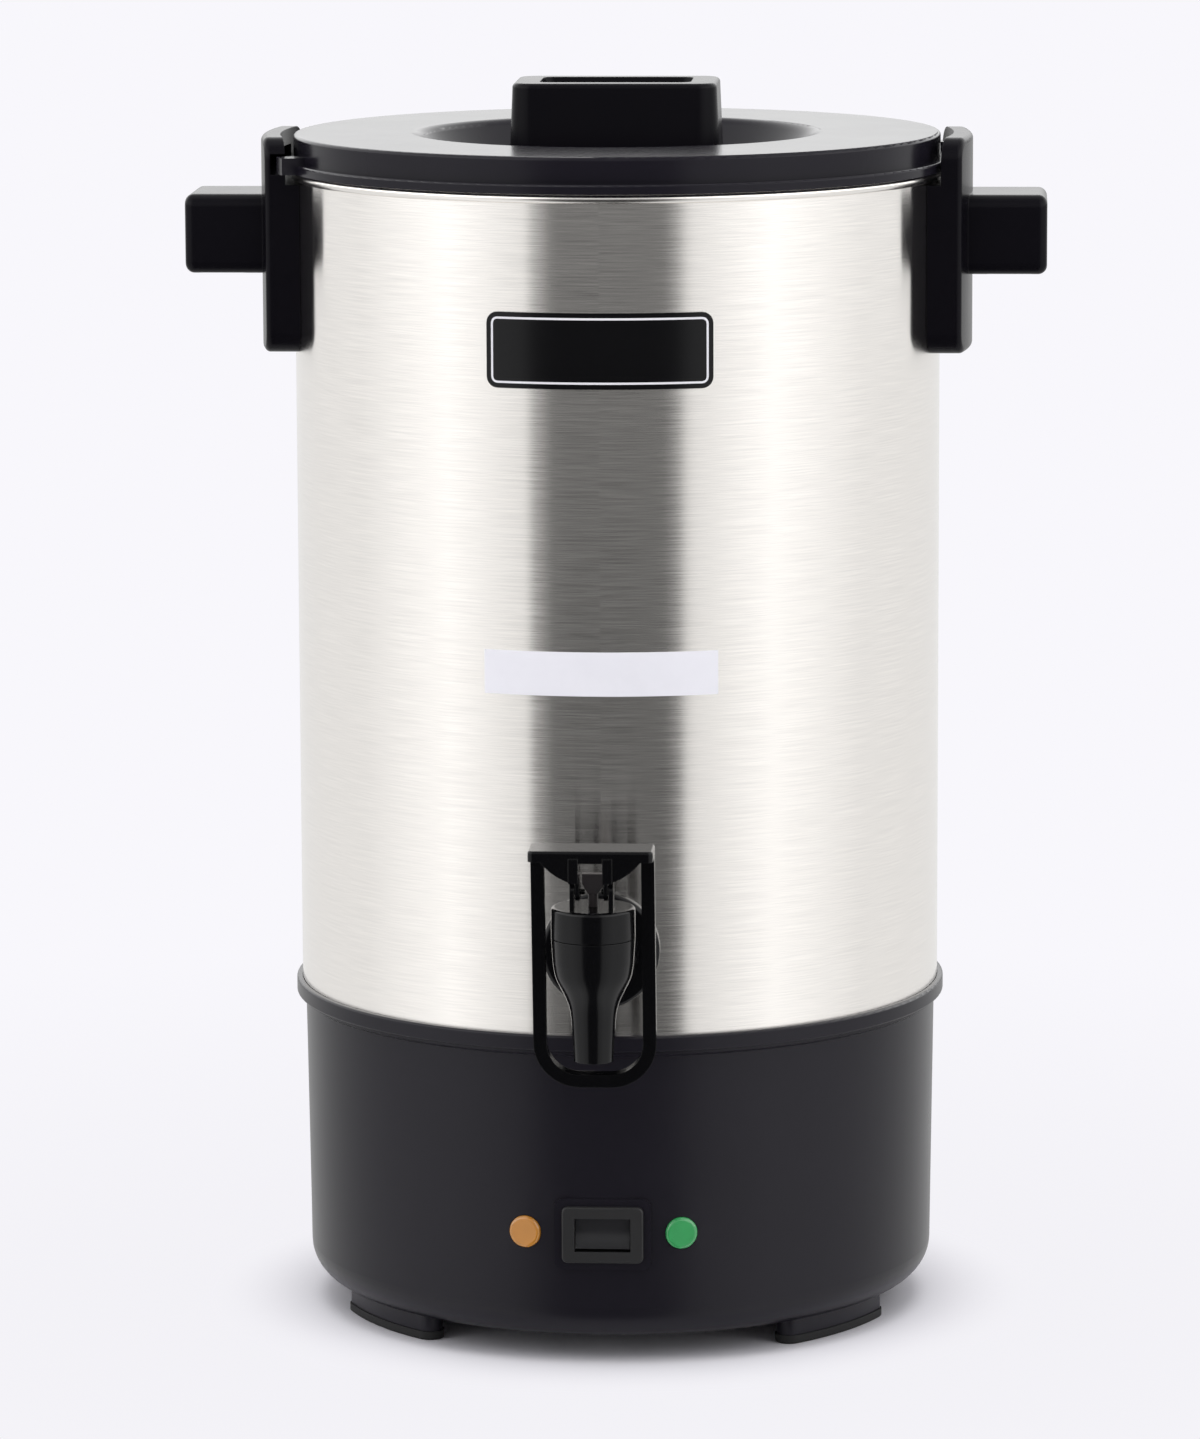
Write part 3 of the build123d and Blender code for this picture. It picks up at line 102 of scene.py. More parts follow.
class UrnPlateSettings(bpy.types.PropertyGroup):
    """Sizes of the plates on the front of the tank."""

    badge_width: length("Badge width", "Along the tank's curve", 0.0748)
    badge_low: length("Badge low edge", "Height above the ground", 0.3259)
    badge_high: length("Badge high edge", "Height above the ground", 0.3507)
    badge_corner: length("Badge corner", "Corner radius", 0.0037)
    sticker_width: length("Sticker width", "Along the tank's curve", 0.078)
    sticker_low: length("Sticker low edge", "Height above the ground", 0.2253)
    sticker_high: length("Sticker high edge", "Height above the ground", 0.2398)


class UrnColourSettings(bpy.types.PropertyGroup):
    """Main colours of the urn."""

    steel: shade("Steel", "Brushed tank", (0.93, 0.90, 0.865))
    moulding: shade("Moulding", "Satin black plastic", (0.0085, 0.0075, 0.0115))
    tap: shade("Tap", "Gloss black plastic", (0.002, 0.002, 0.0025))
    backdrop: shade("Backdrop", "Floor and surroundings", (0.94, 0.93, 0.972))


# --------------------------------------------------------------- node groups
def new_group(name, inputs, outputs):
    """Makes a shader node group with the given sockets and returns (tree, in node, out node)."""
    group = bpy.data.node_groups.new(name, "ShaderNodeTree")
    for socket_name, kind, value in inputs:
        socket = group.interface.new_socket(socket_name, in_out="INPUT", socket_type=kind)
        if value is not None:
            socket.default_value = value
    for socket_name, kind in outputs:
        group.interface.new_socket(socket_name, in_out="OUTPUT", socket_type=kind)
    return group, group.nodes.new("NodeGroupInput"), group.nodes.new("NodeGroupOutput")


def put(tree, kind, **settings):
    """Adds a node and sets its properties."""
    node = tree.nodes.new(kind)
    for key, value in settings.items():
        setattr(node, key, value)
    return node


def maths(tree, operation, first, second=None):
    """Adds a Math node fed by sockets or numbers and returns its result."""
    node = put(tree, "ShaderNodeMath", operation=operation)
    for index, value in enumerate((first, second)):
        if value is None:
            continue
        if isinstance(value, bpy.types.NodeSocket):
            tree.links.new(value, node.inputs[index])
        else:
            node.inputs[index].default_value = value
    return node.outputs[0]


def noise(tree, vector, scale, detail=3.0, roughness=0.55):
    """Adds a Noise Texture on the given coordinates and returns its value."""
    node = put(tree, "ShaderNodeTexNoise")
    node.inputs["Scale"].default_value = scale
    node.inputs["Detail"].default_value = detail
    node.inputs["Roughness"].default_value = roughness
    tree.links.new(vector, node.inputs["Vector"])
    return node.outputs[0]


def blend_colours(tree, factor, low, high):
    """Adds a colour Mix node and returns its colour."""
    node = put(tree, "ShaderNodeMix", data_type="RGBA")
    for name, value in (("Factor", factor), ("A", low), ("B", high)):
        socket = next(s for s in node.inputs if s.name == name and s.enabled)
        if isinstance(value, bpy.types.NodeSocket):
            tree.links.new(value, socket)
        elif name == "Factor":
            socket.default_value = value
        else:
            socket.default_value = (*value, 1) if len(value) == 3 else value
    return next(s for s in node.outputs if s.enabled)


def spread(tree, value, low, high):
    """Maps 0..1 to low..high."""
    node = put(tree, "ShaderNodeMapRange")
    tree.links.new(value, node.inputs["Value"])
    node.inputs["To Min"].default_value = low
    node.inputs["To Max"].default_value = high
    return node.outputs[0]


def contrast(tree, value, low, high, kind="LINEAR"):
    """Stretches low..high to 0..1 and clips what lies outside."""
    node = put(tree, "ShaderNodeMapRange", interpolation_type=kind)
    tree.links.new(value, node.inputs["Value"])
    node.inputs["From Min"].default_value = low
    node.inputs["From Max"].default_value = high
    return node.outputs[0]


def rounded(tree, turn, height, across, up):
    """Coordinates that run round an axis and along it, each stretched by its factor."""
    join = put(tree, "ShaderNodeCombineXYZ")
    tree.links.new(maths(tree, "MULTIPLY", turn, across), join.inputs["X"])
    tree.links.new(maths(tree, "MULTIPLY", height, up), join.inputs["Z"])
    return join.outputs[0]


def make_brushing_group():
    """Brushing that runs round a vertical cylinder: fine streaks of height, tone and roughness."""
    group, given, result = new_group(
        "brushing_round",
        [("Vector", "NodeSocketVector", None), ("Streaks", "NodeSocketFloat", 900.0)],
        [("Height", "NodeSocketFloat"), ("Tone", "NodeSocketFloat")],
    )
    links = group.links
    split = put(group, "ShaderNodeSeparateXYZ")
    links.new(given.outputs["Vector"], split.inputs[0])
    turn = maths(group, "ARCTAN2", split.outputs["X"], split.outputs["Y"])
    height = split.outputs["Z"]
    streaks = rounded(group, turn, height, 5.0, given.outputs["Streaks"])
    fine = contrast(group, noise(group, streaks, 1.0, 4.0, 0.62), 0.34, 0.66)
    broad = noise(group, rounded(group, turn, height, 2.5, 170.0), 1.0, 2.0, 0.5)
    links.new(fine, result.inputs["Height"])
    fine_share = maths(group, "MULTIPLY", fine, 0.88)
    broad_share = maths(group, "MULTIPLY", broad, 0.12)
    links.new(maths(group, "ADD", fine_share, broad_share), result.inputs["Tone"])
    return group


def make_moulding_group():
    """Spark-eroded moulding texture with faint handling marks."""
    group, given, result = new_group(
        "moulding_grain",
        [("Vector", "NodeSocketVector", None), ("Grain", "NodeSocketFloat", 1400.0)],
        [("Height", "NodeSocketFloat"), ("Marks", "NodeSocketFloat")],
    )
    links = group.links
    grain = put(group, "ShaderNodeTexNoise")
    grain.inputs["Detail"].default_value = 2.0
    links.new(given.outputs["Vector"], grain.inputs["Vector"])
    links.new(given.outputs["Grain"], grain.inputs["Scale"])
    marks = noise(group, given.outputs["Vector"], 22.0, 5.0, 0.62)
    links.new(grain.outputs[0], result.inputs["Height"])
    links.new(marks, result.inputs["Marks"])
    return group


def new_material(name):
    """A material with a Principled shader and Object coordinates."""
    material = bpy.data.materials.new(name)
    material.use_nodes = True
    tree = material.node_tree
    shader = tree.nodes["Principled BSDF"]
    place = put(tree, "ShaderNodeTexCoord")
    return material, tree, shader, place.outputs["Object"]


def add_bump(tree, shader, height, strength, distance, edge=0.0):
    """Feeds a height to the shader's normal, over edges that are rounded by edge."""
    bump = put(tree, "ShaderNodeBump")
    if edge:
        rounding = put(tree, "ShaderNodeBevel", samples=6)
        rounding.inputs["Radius"].default_value = edge
        tree.links.new(rounding.outputs[0], bump.inputs["Normal"])
    bump.inputs["Strength"].default_value = strength
    bump.inputs["Distance"].default_value = distance
    tree.links.new(height, bump.inputs["Height"])
    tree.links.new(bump.outputs[0], shader.inputs["Normal"])


def brushed_metal(
    name, colour, rough=(0.20, 0.34), streaks=900.0, depth=0.00002, tone=0.10, stretch=0.0
):
    """Metal brushed round the vertical axis."""
    material, tree, shader, place = new_material(name)
    brush = put(tree, "ShaderNodeGroup", node_tree=bpy.data.node_groups["brushing_round"])
    tree.links.new(place, brush.inputs["Vector"])
    brush.inputs["Streaks"].default_value = streaks
    dark = tuple(c * (1 - tone) for c in colour)
    bright = tuple(min(1.0, c * (1 + tone * 0.6)) for c in colour)
    streaked = blend_colours(tree, brush.outputs["Tone"], dark, bright)
    tree.links.new(streaked, shader.inputs["Base Color"])
    tree.links.new(spread(tree, brush.outputs["Tone"], *rough), shader.inputs["Roughness"])
    shader.inputs["Metallic"].default_value = 1.0
    if stretch:
        shader.inputs["Anisotropic"].default_value = stretch
        shader.inputs["Anisotropic Rotation"].default_value = 0.25
    add_bump(tree, shader, brush.outputs["Height"], 0.35, depth)
    return material


def moulded_plastic(
    name, colour, rough=(0.34, 0.46), grain=1400.0, depth=0.00002, specular=0.3, edge=0.0
):
    """Moulded plastic with a fine grain."""
    material, tree, shader, place = new_material(name)
    skin = put(tree, "ShaderNodeGroup", node_tree=bpy.data.node_groups["moulding_grain"])
    tree.links.new(place, skin.inputs["Vector"])
    skin.inputs["Grain"].default_value = grain
    lighter = tuple(c * 1.25 + 0.001 for c in colour)
    marked = blend_colours(tree, skin.outputs["Marks"], colour, lighter)
    tree.links.new(marked, shader.inputs["Base Color"])
    tree.links.new(spread(tree, skin.outputs["Marks"], *rough), shader.inputs["Roughness"])
    shader.inputs["Specular IOR Level"].default_value = specular
    add_bump(tree, shader, skin.outputs["Height"], 0.25, depth, edge)
    return material


def lens_plastic(name, colour):
    """Tinted translucent lens."""
    material, tree, shader, place = new_material(name)
    cloud = noise(tree, place, 160.0, 1.0, 0.4)
    darker = tuple(c * 0.8 for c in colour)
    tree.links.new(blend_colours(tree, cloud, darker, colour), shader.inputs["Base Color"])
    shader.inputs["Roughness"].default_value = 0.10
    shader.inputs["Transmission Weight"].default_value = 0.35
    shader.inputs["Coat Weight"].default_value = 0.8
    add_bump(tree, shader, cloud, 0.1, 0.00001)
    return material


def paint_nodes(material, *names):
    """Gives a CAD node's slots this material."""
    for name in names:
        slots = NODES[name].material_slots
        if not slots:
            NODES[name].data.materials.append(material)
        for slot in slots:
            slot.material = material


# -------------------------------------------------------------------- pieces
def deselect_all():
    """Leaves nothing selected and nothing in edit mode."""
    if bpy.context.mode != "OBJECT":
        bpy.ops.object.mode_set(mode="OBJECT")
    bpy.ops.object.select_all(action="DESELECT")


def merge_and_turn_out():
    """In edit mode, merges points that coincide and points every face outwards."""
    bpy.ops.mesh.select_all(action="SELECT")
    bpy.ops.mesh.remove_doubles(threshold=MERGE)
    bpy.ops.mesh.normals_make_consistent(inside=False)


def leave_smooth(angle):
    """Leaves edit mode and shades smooth over edges flatter than angle, in degrees."""
    bpy.ops.object.mode_set(mode="OBJECT")
    bpy.ops.object.shade_smooth_by_angle(angle=radians(angle))


def select_by(kind, test):
    """Selects, in edit mode, the faces or edges whose middle passes the test."""
    bpy.ops.mesh.select_mode(type=kind)
    bpy.ops.mesh.select_all(action="DESELECT")
    shape = bmesh.from_edit_mesh(bpy.context.object.data)
    if kind == "FACE":
        for face in shape.faces:
            face.select_set(test(face.calc_center_median(), face.normal))
    else:
        for edge in shape.edges:
            low, high = (v.co for v in edge.verts)
            edge.select_set(test((low + high) / 2, high - low))
    bmesh.update_edit_mesh(bpy.context.object.data)


def curved_plate(name, width, low, high, corner, radius, thickness, steps):
    """A thin plate that follows the tank: one radial section spun round, its corners rounded."""
    deselect_all()
    centre = (0, -(radius + thickness / 2), (low + high) / 2)
    bpy.ops.mesh.primitive_plane_add(size=1.0, location=centre)
    plate = bpy.context.object
    plate.name = name
    bpy.ops.object.transform_apply(location=True, rotation=False, scale=False)
    bpy.ops.object.mode_set(mode="EDIT")
    bpy.ops.mesh.select_all(action="SELECT")
    # stand the section up in the plane through the tank's axis, at its own size
    bpy.ops.transform.rotate(value=pi / 2, orient_axis="Y", center_override=centre)
    bpy.ops.transform.resize(value=(1, thickness, high - low), center_override=centre)
    sweep = width / radius
    bpy.ops.transform.rotate(value=-sweep / 2, orient_axis="Z", center_override=(0, 0, 0))
    bpy.ops.mesh.spin(steps=steps, angle=sweep, center=(0, 0, 0), axis=(0, 0, 1))
    merge_and_turn_out()
    if corner:
        ends = sweep / 2 * radius * 0.97
        select_by(
            "EDGE",
            lambda at, run: abs(run.z) < 1e-6
            and run.length < thickness * 1.5
            and radius * abs(atan2(at.x, -at.y)) > ends
            and min(abs(at.z - low), abs(at.z - high)) < 1e-5,
        )
        bpy.ops.mesh.bevel(offset=corner, segments=5, affect="EDGES")
    return plate


class URN_OT_plates(bpy.types.Operator):
    """Adds the bare badge and the bare sticker on the front of the tank"""

    bl_idname = "urn.plates"
    bl_label = "Front plates"

    def execute(self, context):
        sizes = context.scene.urn_plates
        badge = curved_plate(
            "badge_plate", sizes.badge_width, sizes.badge_low, sizes.badge_high,
            sizes.badge_corner, TANK_R + PLATE_GAP, BADGE_THICKNESS, 18,
        )
        badge.data.materials.append(bpy.data.materials["badge_enamel"])
        badge.data.materials.append(bpy.data.materials["badge_line"])
        front = TANK_R + BADGE_FACE
        select_by("FACE", lambda at, normal: hypot(at.x, at.y) > front and abs(normal.z) < 0.1)
        bpy.ops.mesh.inset(thickness=BADGE_MARGIN, depth=0.0)
        badge.active_material_index = 1
        bpy.ops.object.material_slot_assign()
        bpy.ops.mesh.inset(thickness=BADGE_LINE, depth=0.0)
        badge.active_material_index = 0
        bpy.ops.object.material_slot_assign()
        leave_smooth(30)
        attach(badge, "urn")
        sticker = curved_plate(
            "bare_sticker", sizes.sticker_width, sizes.sticker_low, sizes.sticker_high,
            0.0, TANK_R + PLATE_GAP, STICKER_THICKNESS, 24,
        )
        leave_smooth(30)
        sticker.data.materials.append(bpy.data.materials["sticker_film"])
        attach(sticker, "urn")
        return {"FINISHED"}


def round_edge(name, centre_r, centre_z, radius, low_r, low_z, high_z):
    """A rounded edge that runs round the urn: a circle cut to what shows, spun round the axis."""
    deselect_all()
    bpy.ops.mesh.primitive_circle_add(
        vertices=40, radius=radius, fill_type="NGON",
        location=(centre_r, 0, centre_z), rotation=(pi / 2, 0, 0),
    )
    edge = bpy.context.object
    edge.name = name
    bpy.ops.object.transform_apply(location=True, rotation=True, scale=True)
    bpy.ops.object.mode_set(mode="EDIT")
    cuts = (
        ((low_r, 0, 0), (-1, 0, 0)),
        ((0, 0, low_z), (0, 0, -1)),
        ((0, 0, high_z), (0, 0, 1)),
    )
    for at, normal in cuts:
        bpy.ops.mesh.select_all(action="SELECT")
        bpy.ops.mesh.bisect(plane_co=at, plane_no=normal, clear_outer=True)
    bpy.ops.mesh.select_all(action="SELECT")
    bpy.ops.mesh.delete(type="ONLY_FACE")
    bpy.ops.mesh.select_all(action="SELECT")
    bpy.ops.mesh.spin(steps=288, angle=2 * pi, center=(0, 0, 0), axis=(0, 0, 1))
    merge_and_turn_out()
    leave_smooth(40)
    return edge


class URN_OT_edges(bpy.types.Operator):
    """Adds the rolled bead round the tank's rim"""

    bl_idname = "urn.edges"
    bl_label = "Rim bead"

    def execute(self, context):
        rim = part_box("tank")[1].z
        bead = round_edge(
            "rim_bead", TANK_R - BEAD_IN, rim - BEAD_DOWN, BEAD_R,
            TANK_R - BEAD_CUT_IN, rim - BEAD_CUT_LOW, rim - BEAD_CUT_HIGH,
        )
        bead.data.materials.append(bpy.data.materials["rolled_steel"])
        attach(bead, "urn")
        return {"FINISHED"}


class URN_OT_spring(bpy.types.Operator):
    """Adds the tap's return spring, a fixed coil in place of the frame's spring"""

    bl_idname = "urn.spring"
    bl_label = "Tap spring"

    def execute(self, context):
        low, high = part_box("valve_spring")
        middle, tall = (low + high) / 2, high.z - low.z
        coil_r = (high.x - low.x) / 2 - SPRING_WIRE_R
        deselect_all()
        line = bpy.data.curves.new("valve_coil", "CURVE")
        line.dimensions = "3D"
        line.bevel_depth = SPRING_WIRE_R
        line.bevel_resolution = 2
        line.use_fill_caps = True
        steps = int(SPRING_TURNS * SPRING_POINTS)
        run = line.splines.new("POLY")
        run.points.add(steps)
        for index, point in enumerate(run.points):
            angle, share = 2 * pi * index / SPRING_POINTS, index / steps
            height = low.z + SPRING_WIRE_R + (tall - 2 * SPRING_WIRE_R) * share
            across, along = coil_r * cos(angle), coil_r * sin(angle)
            point.co = (middle.x + across, middle.y + along, height, 1)
        coil = bpy.data.objects.new("valve_coil", line)
        context.scene.collection.objects.link(coil)
        context.view_layer.objects.active = coil
        coil.select_set(True)
        bpy.ops.object.convert(target="MESH")
        bpy.ops.object.mode_set(mode="EDIT")
        merge_and_turn_out()
        leave_smooth(50)
        coil.data.materials.clear()
        coil.data.materials.append(bpy.data.materials["bright_steel"])
        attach(coil, "urn")
        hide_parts("valve_spring")
        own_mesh(coil)
        return {"FINISHED"}


class URN_OT_materials(bpy.types.Operator):
    """Builds every finish and gives it to the pieces of the frame"""

    bl_idname = "urn.materials"
    bl_label = "Finishes"

    def execute(self, context):
        colours = context.scene.urn_colours
        steel, black, tap = tuple(colours.steel), tuple(colours.moulding), tuple(colours.tap)
        make_brushing_group()
        make_moulding_group()
        tank = brushed_metal(
            "tank_steel", steel, rough=(0.14, 0.22), streaks=3600.0, depth=0.0000007,
            tone=0.04, stretch=0.98,
        )
        paint_nodes(tank, "tank")
        brushed_metal(
            "rolled_steel", steel, rough=(0.20, 0.26), streaks=400.0, depth=0.0000002, tone=0.02
        )
        base = moulded_plastic("base_moulding", black, rough=(0.25, 0.33), specular=0.25)
        paint_nodes(base, "base_housing", "base_plate")
        darker = tuple(c * 0.45 for c in black)
        handle = moulded_plastic(
            "handle_moulding", darker, rough=(0.20, 0.28), specular=0.10, edge=0.0005
        )
        paint_nodes(handle, "handle_right", "handle_left", "knob")
        lid = moulded_plastic(
            "lid_moulding", black, rough=(0.17, 0.23), depth=0.000006, specular=0.22
        )
        paint_nodes(lid, "lid")
        tap_finish = moulded_plastic(
            "tap_moulding", tap, rough=(0.12, 0.18), depth=0.000004, specular=0.25, edge=0.0004
        )
        paint_nodes(
            tap_finish, "tap_body", "tap_bonnet", "tap_lever", "tap_washer_outer", "tap_nut"
        )
        stem = moulded_plastic(
            "stem_moulding", (0.075, 0.066, 0.066), rough=(0.30, 0.40), specular=0.2
        )
        paint_nodes(stem, "valve_stem")
        rubber = moulded_plastic("foot_rubber", (0.012, 0.012, 0.012), rough=(0.6, 0.75))
        paint_nodes(rubber, "foot_pads")
        silicone = moulded_plastic("seal_silicone", (0.55, 0.55, 0.53), rough=(0.4, 0.5))
        paint_nodes(silicone, "lid_seal", "seat_cup", "well_gasket", "tap_washer_inner")
        aluminium = brushed_metal(
            "turned_aluminium", (0.78, 0.78, 0.77), rough=(0.26, 0.38), streaks=500.0
        )
        paint_nodes(
            aluminium, "heater_well", "well_nut", "pump_tube", "pump_foot", "filter_basket",
            "basket_floor", "spreader",
        )
        bright = brushed_metal(
            "bright_steel", (0.66, 0.66, 0.65), rough=(0.18, 0.28), streaks=700.0
        )
        paint_nodes(
            bright, "pump_valve", "valve_spring", "mounting_ring", "handle_washers",
            "ring_screws", "base_screws", "handle_screws", "knob_screws", "inlet_screws",
            "thermostat",
        )
        sheath = brushed_metal(
            "element_sheath", (0.30, 0.27, 0.25), rough=(0.42, 0.6), streaks=300.0
        )
        paint_nodes(sheath, "brew_heater", "warm_heater")
        ceramic = moulded_plastic(
            "glazed_ceramic", (0.72, 0.69, 0.62), rough=(0.3, 0.45), grain=600.0
        )
        paint_nodes(ceramic, "thermal_cutout", "terminal_block")
        sleeving = moulded_plastic("wire_sleeving", (0.36, 0.03, 0.02), rough=(0.4, 0.55))
        paint_nodes(sleeving, "wires")
        inlet = moulded_plastic("inlet_moulding", (0.02, 0.02, 0.02))
        paint_nodes(inlet, "power_inlet", "switch_housing")
        paint_nodes(brushed_metal("prong_brass", (0.78, 0.66, 0.40), streaks=600.0), "inlet_prongs")
        rocker = moulded_plastic("rocker_moulding", (0.016, 0.016, 0.017), rough=(0.2, 0.3))
        paint_nodes(rocker, "switch_rocker")
        paint_nodes(lens_plastic("amber_lens", (0.85, 0.36, 0.05)), "lamp_brewing")
        paint_nodes(lens_plastic("green_lens", (0.06, 0.55, 0.16)), "lamp_ready")
        moulded_plastic(
            "badge_enamel", (0.003, 0.003, 0.0035), rough=(0.14, 0.20), depth=0.000002
        )
        moulded_plastic("badge_line", (0.74, 0.74, 0.76), rough=(0.2, 0.3), depth=0.000004)
        moulded_plastic("sticker_film", (0.80, 0.80, 0.83), rough=(0.35, 0.45), depth=0.000004)
        return {"FINISHED"}


# --------------------------------------------------------------------- stage
# floor: distances from the urn's axis over which each thing changes, in metres
FLOOR_R = 6.0
SHADOW_FADE = (0.090, 0.142)
GLOW_RISE = (0.14, 0.60)
GLOW_LEVELS = (0.95, 1.0)
GLOSS_END = (0.112, 0.122)

# what gloss sees of the studio, by direction round the urn: degrees from the front, brightness.
# A pale room with a soft panel on each side and a darker gap in front, the same left and right
STUDIO_RING = (
    (-180, 0.80), (-100, 0.80), (-60, 1.00), (-30, 0.70), (-20, 0.20),
    (20, 0.20), (30, 0.70), (60, 1.00), (100, 0.80), (180, 0.80),
)
# heights in the room: 0 is the horizon and 1 is overhead
BACKDROP_LIT = (0.02, 0.14)
BACKDROP_GAIN = 1.3
OVERHEAD = (0.45, 0.85)
OVERHEAD_DIM = 0.8
# the room ahead: its middle and soft edge in radians, then how it changes with height
AHEAD_TURN = 0.021
AHEAD_EDGE = (0.50, 0.44)
UNDER_HORIZON = (-0.02, -0.06)
AHEAD_GAIN = 0.35
UNDER_LOSS = 1.1
DULL_LEVEL = 0.5  # the world's strength for dull surfaces

# soft boxes: name, width, height (none for a square), place, energy
SOFT_BOXES = (
    ("left_box", 1.0, 1.6, (-1.5, -1.1, 0.9), 8.0),
    ("right_box", 1.0, 1.6, (1.6, -0.9, 0.9), 9.0),
    ("top_box", 1.6, None, (0, -0.2, 2.0), 22.0),
)
BOX_TARGET = (0, 0, 0.22)

CAMERA_LENS = 170.63  # millimetres
CAMERA_TURN = radians(3.2213)
CAMERA_DISTANCE = 2.3028
CAMERA_HEIGHT = 0.58055
CAMERA_ROLL = -0.0040
AIM_ASIDE = -0.00653
AIM_HEIGHT = 0.19975


class URN_OT_stage(bpy.types.Operator):
    """Adds the floor, the world, the lights and the camera"""

    bl_idname = "urn.stage"
    bl_label = "Stage"

    def execute(self, context):
        colours = context.scene.urn_colours
        add_floor(tuple(colours.backdrop))
        add_world(tuple(colours.backdrop))
        add_lights()
        add_camera()
        context.scene.view_settings.view_transform = "Standard"
        return {"FINISHED"}


def add_floor(colour):
    """A wide pale floor: it keeps the soft shadow near the urn and runs out into the backdrop."""
    deselect_all()
    bpy.ops.mesh.primitive_circle_add(
        vertices=96, radius=FLOOR_R, fill_type="NGON", location=(0, 0, 0)
    )
    floor = bpy.context.object
    floor.name = "stage_floor"
    material, tree, shader, place = new_material("stage_floor")
    shader.inputs["Base Color"].default_value = (*colour, 1)
    shader.inputs["Roughness"].default_value = 0.7
    shader.inputs["Specular IOR Level"].default_value = 0.1
    length_node = put(tree, "ShaderNodeVectorMath", operation="LENGTH")
    tree.links.new(place, length_node.inputs[0])
    away = length_node.outputs["Value"]
    fade = contrast(tree, away, *SHADOW_FADE, kind="SMOOTHSTEP")
    rays = put(tree, "ShaderNodeLightPath")
    seen = maths(
        tree, "MAXIMUM", rays.outputs["Is Camera Ray"], rays.outputs["Is Transmission Ray"]
    )
    glow = put(tree, "ShaderNodeEmission")
    glow.inputs["Color"].default_value = (*colour, 1)
    rise = spread(tree, contrast(tree, away, *GLOW_RISE), *GLOW_LEVELS)
    tree.links.new(rise, glow.inputs["Strength"])
    open_floor = put(tree, "ShaderNodeMixShader")
    tree.links.new(maths(tree, "MULTIPLY", fade, seen), open_floor.inputs[0])
    tree.links.new(shader.outputs[0], open_floor.inputs[1])
    tree.links.new(glow.outputs[0], open_floor.inputs[2])
    clear = put(tree, "ShaderNodeBsdfTransparent")
    final = put(tree, "ShaderNodeMixShader")
    # gloss sees the floor only right under the urn, where it lies in shadow
    beyond = contrast(tree, away, *GLOSS_END)
    hidden = maths(tree, "MULTIPLY", rays.outputs["Is Glossy Ray"], beyond)
    tree.links.new(hidden, final.inputs[0])
    tree.links.new(open_floor.outputs[0], final.inputs[1])
    tree.links.new(clear.outputs[0], final.inputs[2])
    tree.links.new(final.outputs[0], tree.nodes["Material Output"].inputs["Surface"])
    floor.data.materials.append(material)


def add_world(colour):
    """White surroundings, a softer light on dull surfaces, and a studio ring for gloss."""
    world = bpy.data.worlds.new("studio")
    bpy.context.scene.world = world
    world.use_nodes = True
    tree = world.node_tree
    back = tree.nodes["Background"]
    rays = put(tree, "ShaderNodeLightPath")
    gloss = rays.outputs["Is Glossy Ray"]
    around = put(tree, "ShaderNodeTexCoord")
    split = put(tree, "ShaderNodeSeparateXYZ")
    tree.links.new(around.outputs["Generated"], split.inputs[0])
    height = split.outputs["Z"]
    forward = maths(tree, "MULTIPLY", split.outputs["Y"], -1.0)
    turn = maths(tree, "ARCTAN2", split.outputs["X"], forward)
    ring = put(tree, "ShaderNodeValToRGB")
    stops = ring.color_ramp.elements
    while len(stops) < len(STUDIO_RING):
        stops.new(0.5)
    # every stop gets its place first, because the ramp keeps its stops in order of place
    for stop, (angle, level) in zip(stops, STUDIO_RING):
        stop.position = 0.5 + angle / 360
    for stop, (angle, level) in zip(stops, STUDIO_RING):
        stop.color = (level, level, level, 1)
    tree.links.new(contrast(tree, turn, -pi, pi), ring.inputs[0])
    # brighter just over the horizon, where the backdrop is lit, and plain overhead
    lit = contrast(tree, height, *BACKDROP_LIT, kind="SMOOTHSTEP")
    dim = maths(
        tree, "MULTIPLY", contrast(tree, height, *OVERHEAD, kind="SMOOTHSTEP"), OVERHEAD_DIM
    )
    over = maths(tree, "MULTIPLY", maths(tree, "SUBTRACT", lit, dim), BACKDROP_GAIN)
    gain = maths(tree, "ADD", over, 1.0)
    # ahead, the room is dark under the horizon and brighter over it
    off_middle = maths(tree, "ABSOLUTE", maths(tree, "ADD", turn, AHEAD_TURN))
    ahead = contrast(tree, off_middle, *AHEAD_EDGE)
    loss = maths(tree, "MULTIPLY", contrast(tree, height, *UNDER_HORIZON), UNDER_LOSS)
    room = maths(tree, "MULTIPLY", ahead, maths(tree, "SUBTRACT", AHEAD_GAIN, loss))
    gain = maths(tree, "MULTIPLY", gain, maths(tree, "ADD", 1.0, room))
    # the gains are for gloss alone
    extra = maths(tree, "MULTIPLY", gloss, maths(tree, "SUBTRACT", gain, 1.0))
    gloss_gain = maths(tree, "ADD", 1.0, extra)
    seen_colour = blend_colours(tree, gloss, colour, ring.outputs["Color"])
    tree.links.new(seen_colour, back.inputs["Color"])
    seen = maths(tree, "MAXIMUM", rays.outputs["Is Camera Ray"], gloss)
    seen = maths(tree, "MAXIMUM", seen, rays.outputs["Is Transmission Ray"])
    strength = maths(tree, "MULTIPLY", spread(tree, seen, DULL_LEVEL, 1.0), gloss_gain)
    tree.links.new(strength, back.inputs["Strength"])


def add_lights():
    """Soft boxes on both sides and above."""
    for name, width, height, place, energy in SOFT_BOXES:
        data = bpy.data.lights.new(name, "AREA")
        data.energy = energy
        data.size = width
        if height:
            data.shape = "RECTANGLE"
            data.size_y = height
        lamp = bpy.data.objects.new(name, data)
        bpy.context.scene.collection.objects.link(lamp)
        lamp.location = place
        lamp.rotation_mode = "QUATERNION"
        lamp.rotation_quaternion = (Vector(BOX_TARGET) - Vector(place)).to_track_quat("-Z", "Y")
        lamp.visible_glossy = False


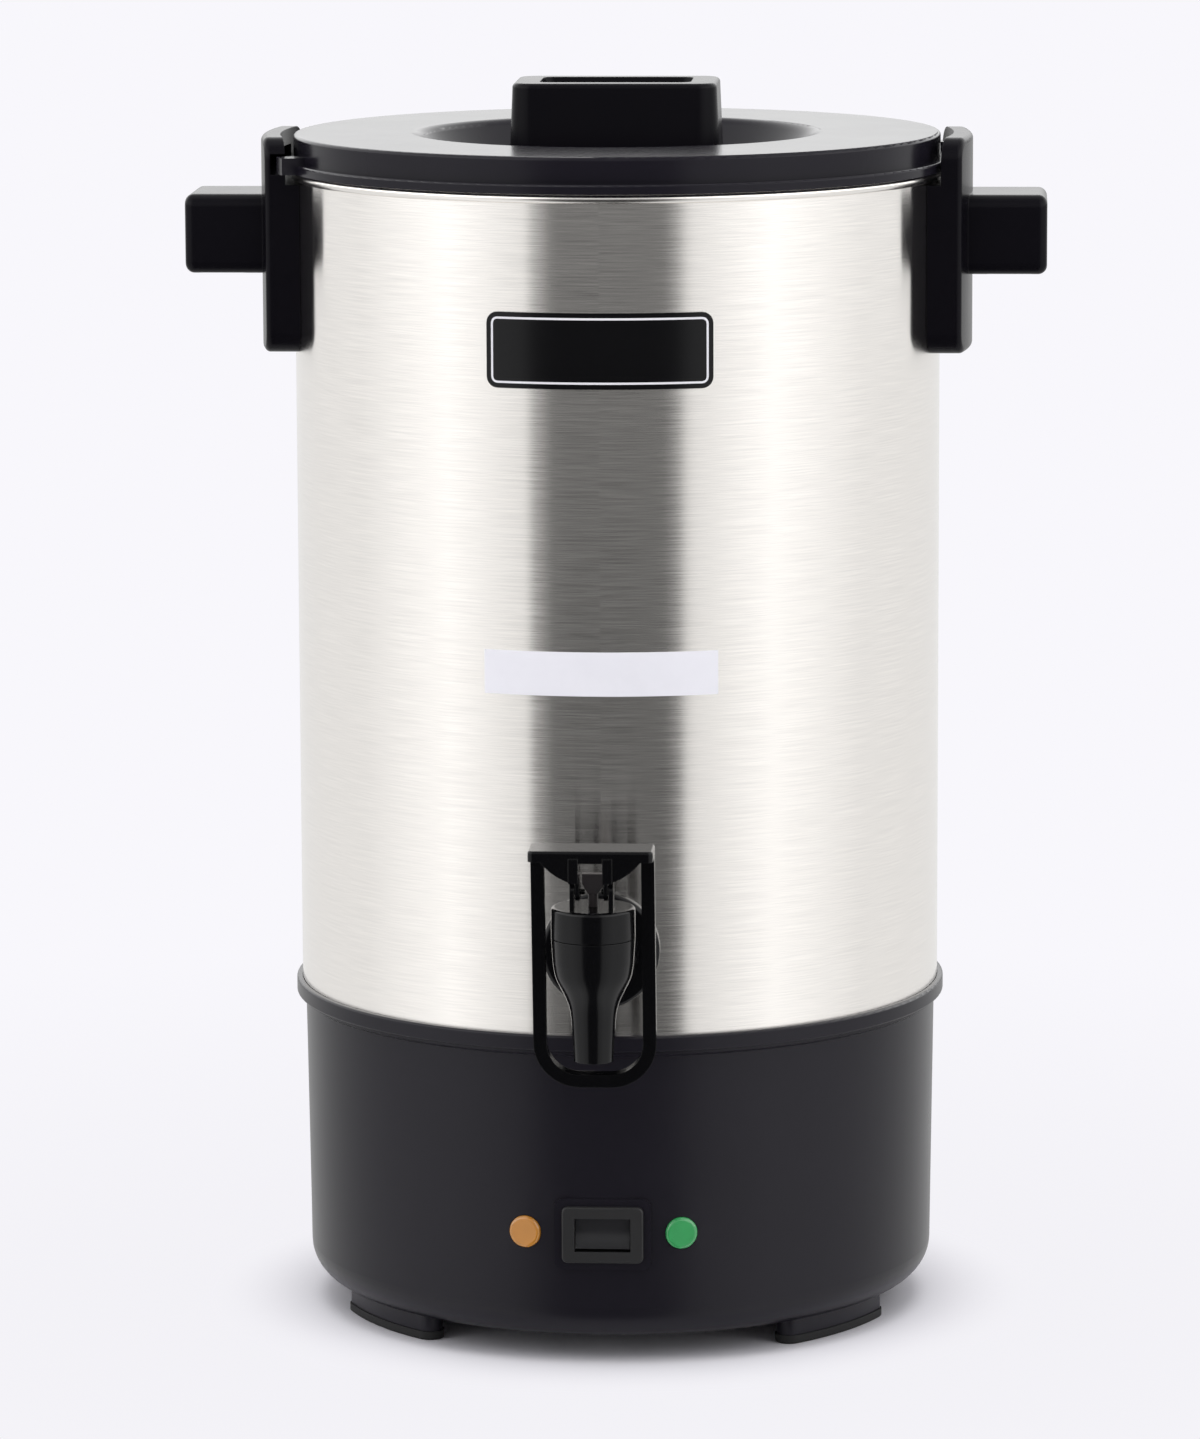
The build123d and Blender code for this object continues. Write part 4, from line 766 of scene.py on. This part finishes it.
def add_camera():
    """The camera: in front, a little to the right and above."""
    data = bpy.data.cameras.new("camera")
    camera = bpy.data.objects.new("camera", data)
    bpy.context.scene.collection.objects.link(camera)
    bpy.context.scene.camera = camera
    data.sensor_fit = "AUTO"
    data.sensor_width = 36.0
    data.lens = CAMERA_LENS
    aside, back = sin(CAMERA_TURN), cos(CAMERA_TURN)
    camera.location = (CAMERA_DISTANCE * aside, -CAMERA_DISTANCE * back, CAMERA_HEIGHT)
    camera.rotation_mode = "QUATERNION"
    aim = Vector((AIM_ASIDE * back, AIM_ASIDE * aside, AIM_HEIGHT))
    facing = (aim - camera.location).normalized()
    right = facing.cross(Vector((0, 0, 1))).normalized()
    upward = right.cross(facing)
    level = right * cos(CAMERA_ROLL) + upward * sin(CAMERA_ROLL)
    above = upward * cos(CAMERA_ROLL) - right * sin(CAMERA_ROLL)
    camera.rotation_quaternion = Matrix((level, above, -facing)).transposed().to_quaternion()


class URN_PT_panel(bpy.types.Panel):
    """Coffee urn tools"""

    bl_label = "Coffee urn"
    bl_idname = "URN_PT_panel"
    bl_space_type = "VIEW_3D"
    bl_region_type = "UI"
    bl_category = "Coffee urn"

    def draw(self, context):
        layout = self.layout
        for operator in OPERATORS:
            layout.operator(operator.bl_idname)
        for settings in (context.scene.urn_plates, context.scene.urn_colours):
            for name in settings.__annotations__:
                layout.prop(settings, name)


OPERATORS = (URN_OT_materials, URN_OT_edges, URN_OT_spring, URN_OT_plates, URN_OT_stage)
CLASSES = (UrnPlateSettings, UrnColourSettings, *OPERATORS, URN_PT_panel)


def register():
    """Registers the classes and their settings."""
    for cls in CLASSES:
        bpy.utils.register_class(cls)
    bpy.types.Scene.urn_plates = bpy.props.PointerProperty(type=UrnPlateSettings)
    bpy.types.Scene.urn_colours = bpy.props.PointerProperty(type=UrnColourSettings)


def unregister():
    """Removes the settings and the classes."""
    del bpy.types.Scene.urn_colours
    del bpy.types.Scene.urn_plates
    for cls in reversed(CLASSES):
        bpy.utils.unregister_class(cls)


def main():
    """Runs every operator in order."""
    register()
    bpy.ops.urn.materials()
    bpy.ops.urn.edges()
    bpy.ops.urn.spring()
    bpy.ops.urn.plates()
    bpy.ops.urn.stage()


if __name__ == "__main__":
    main()
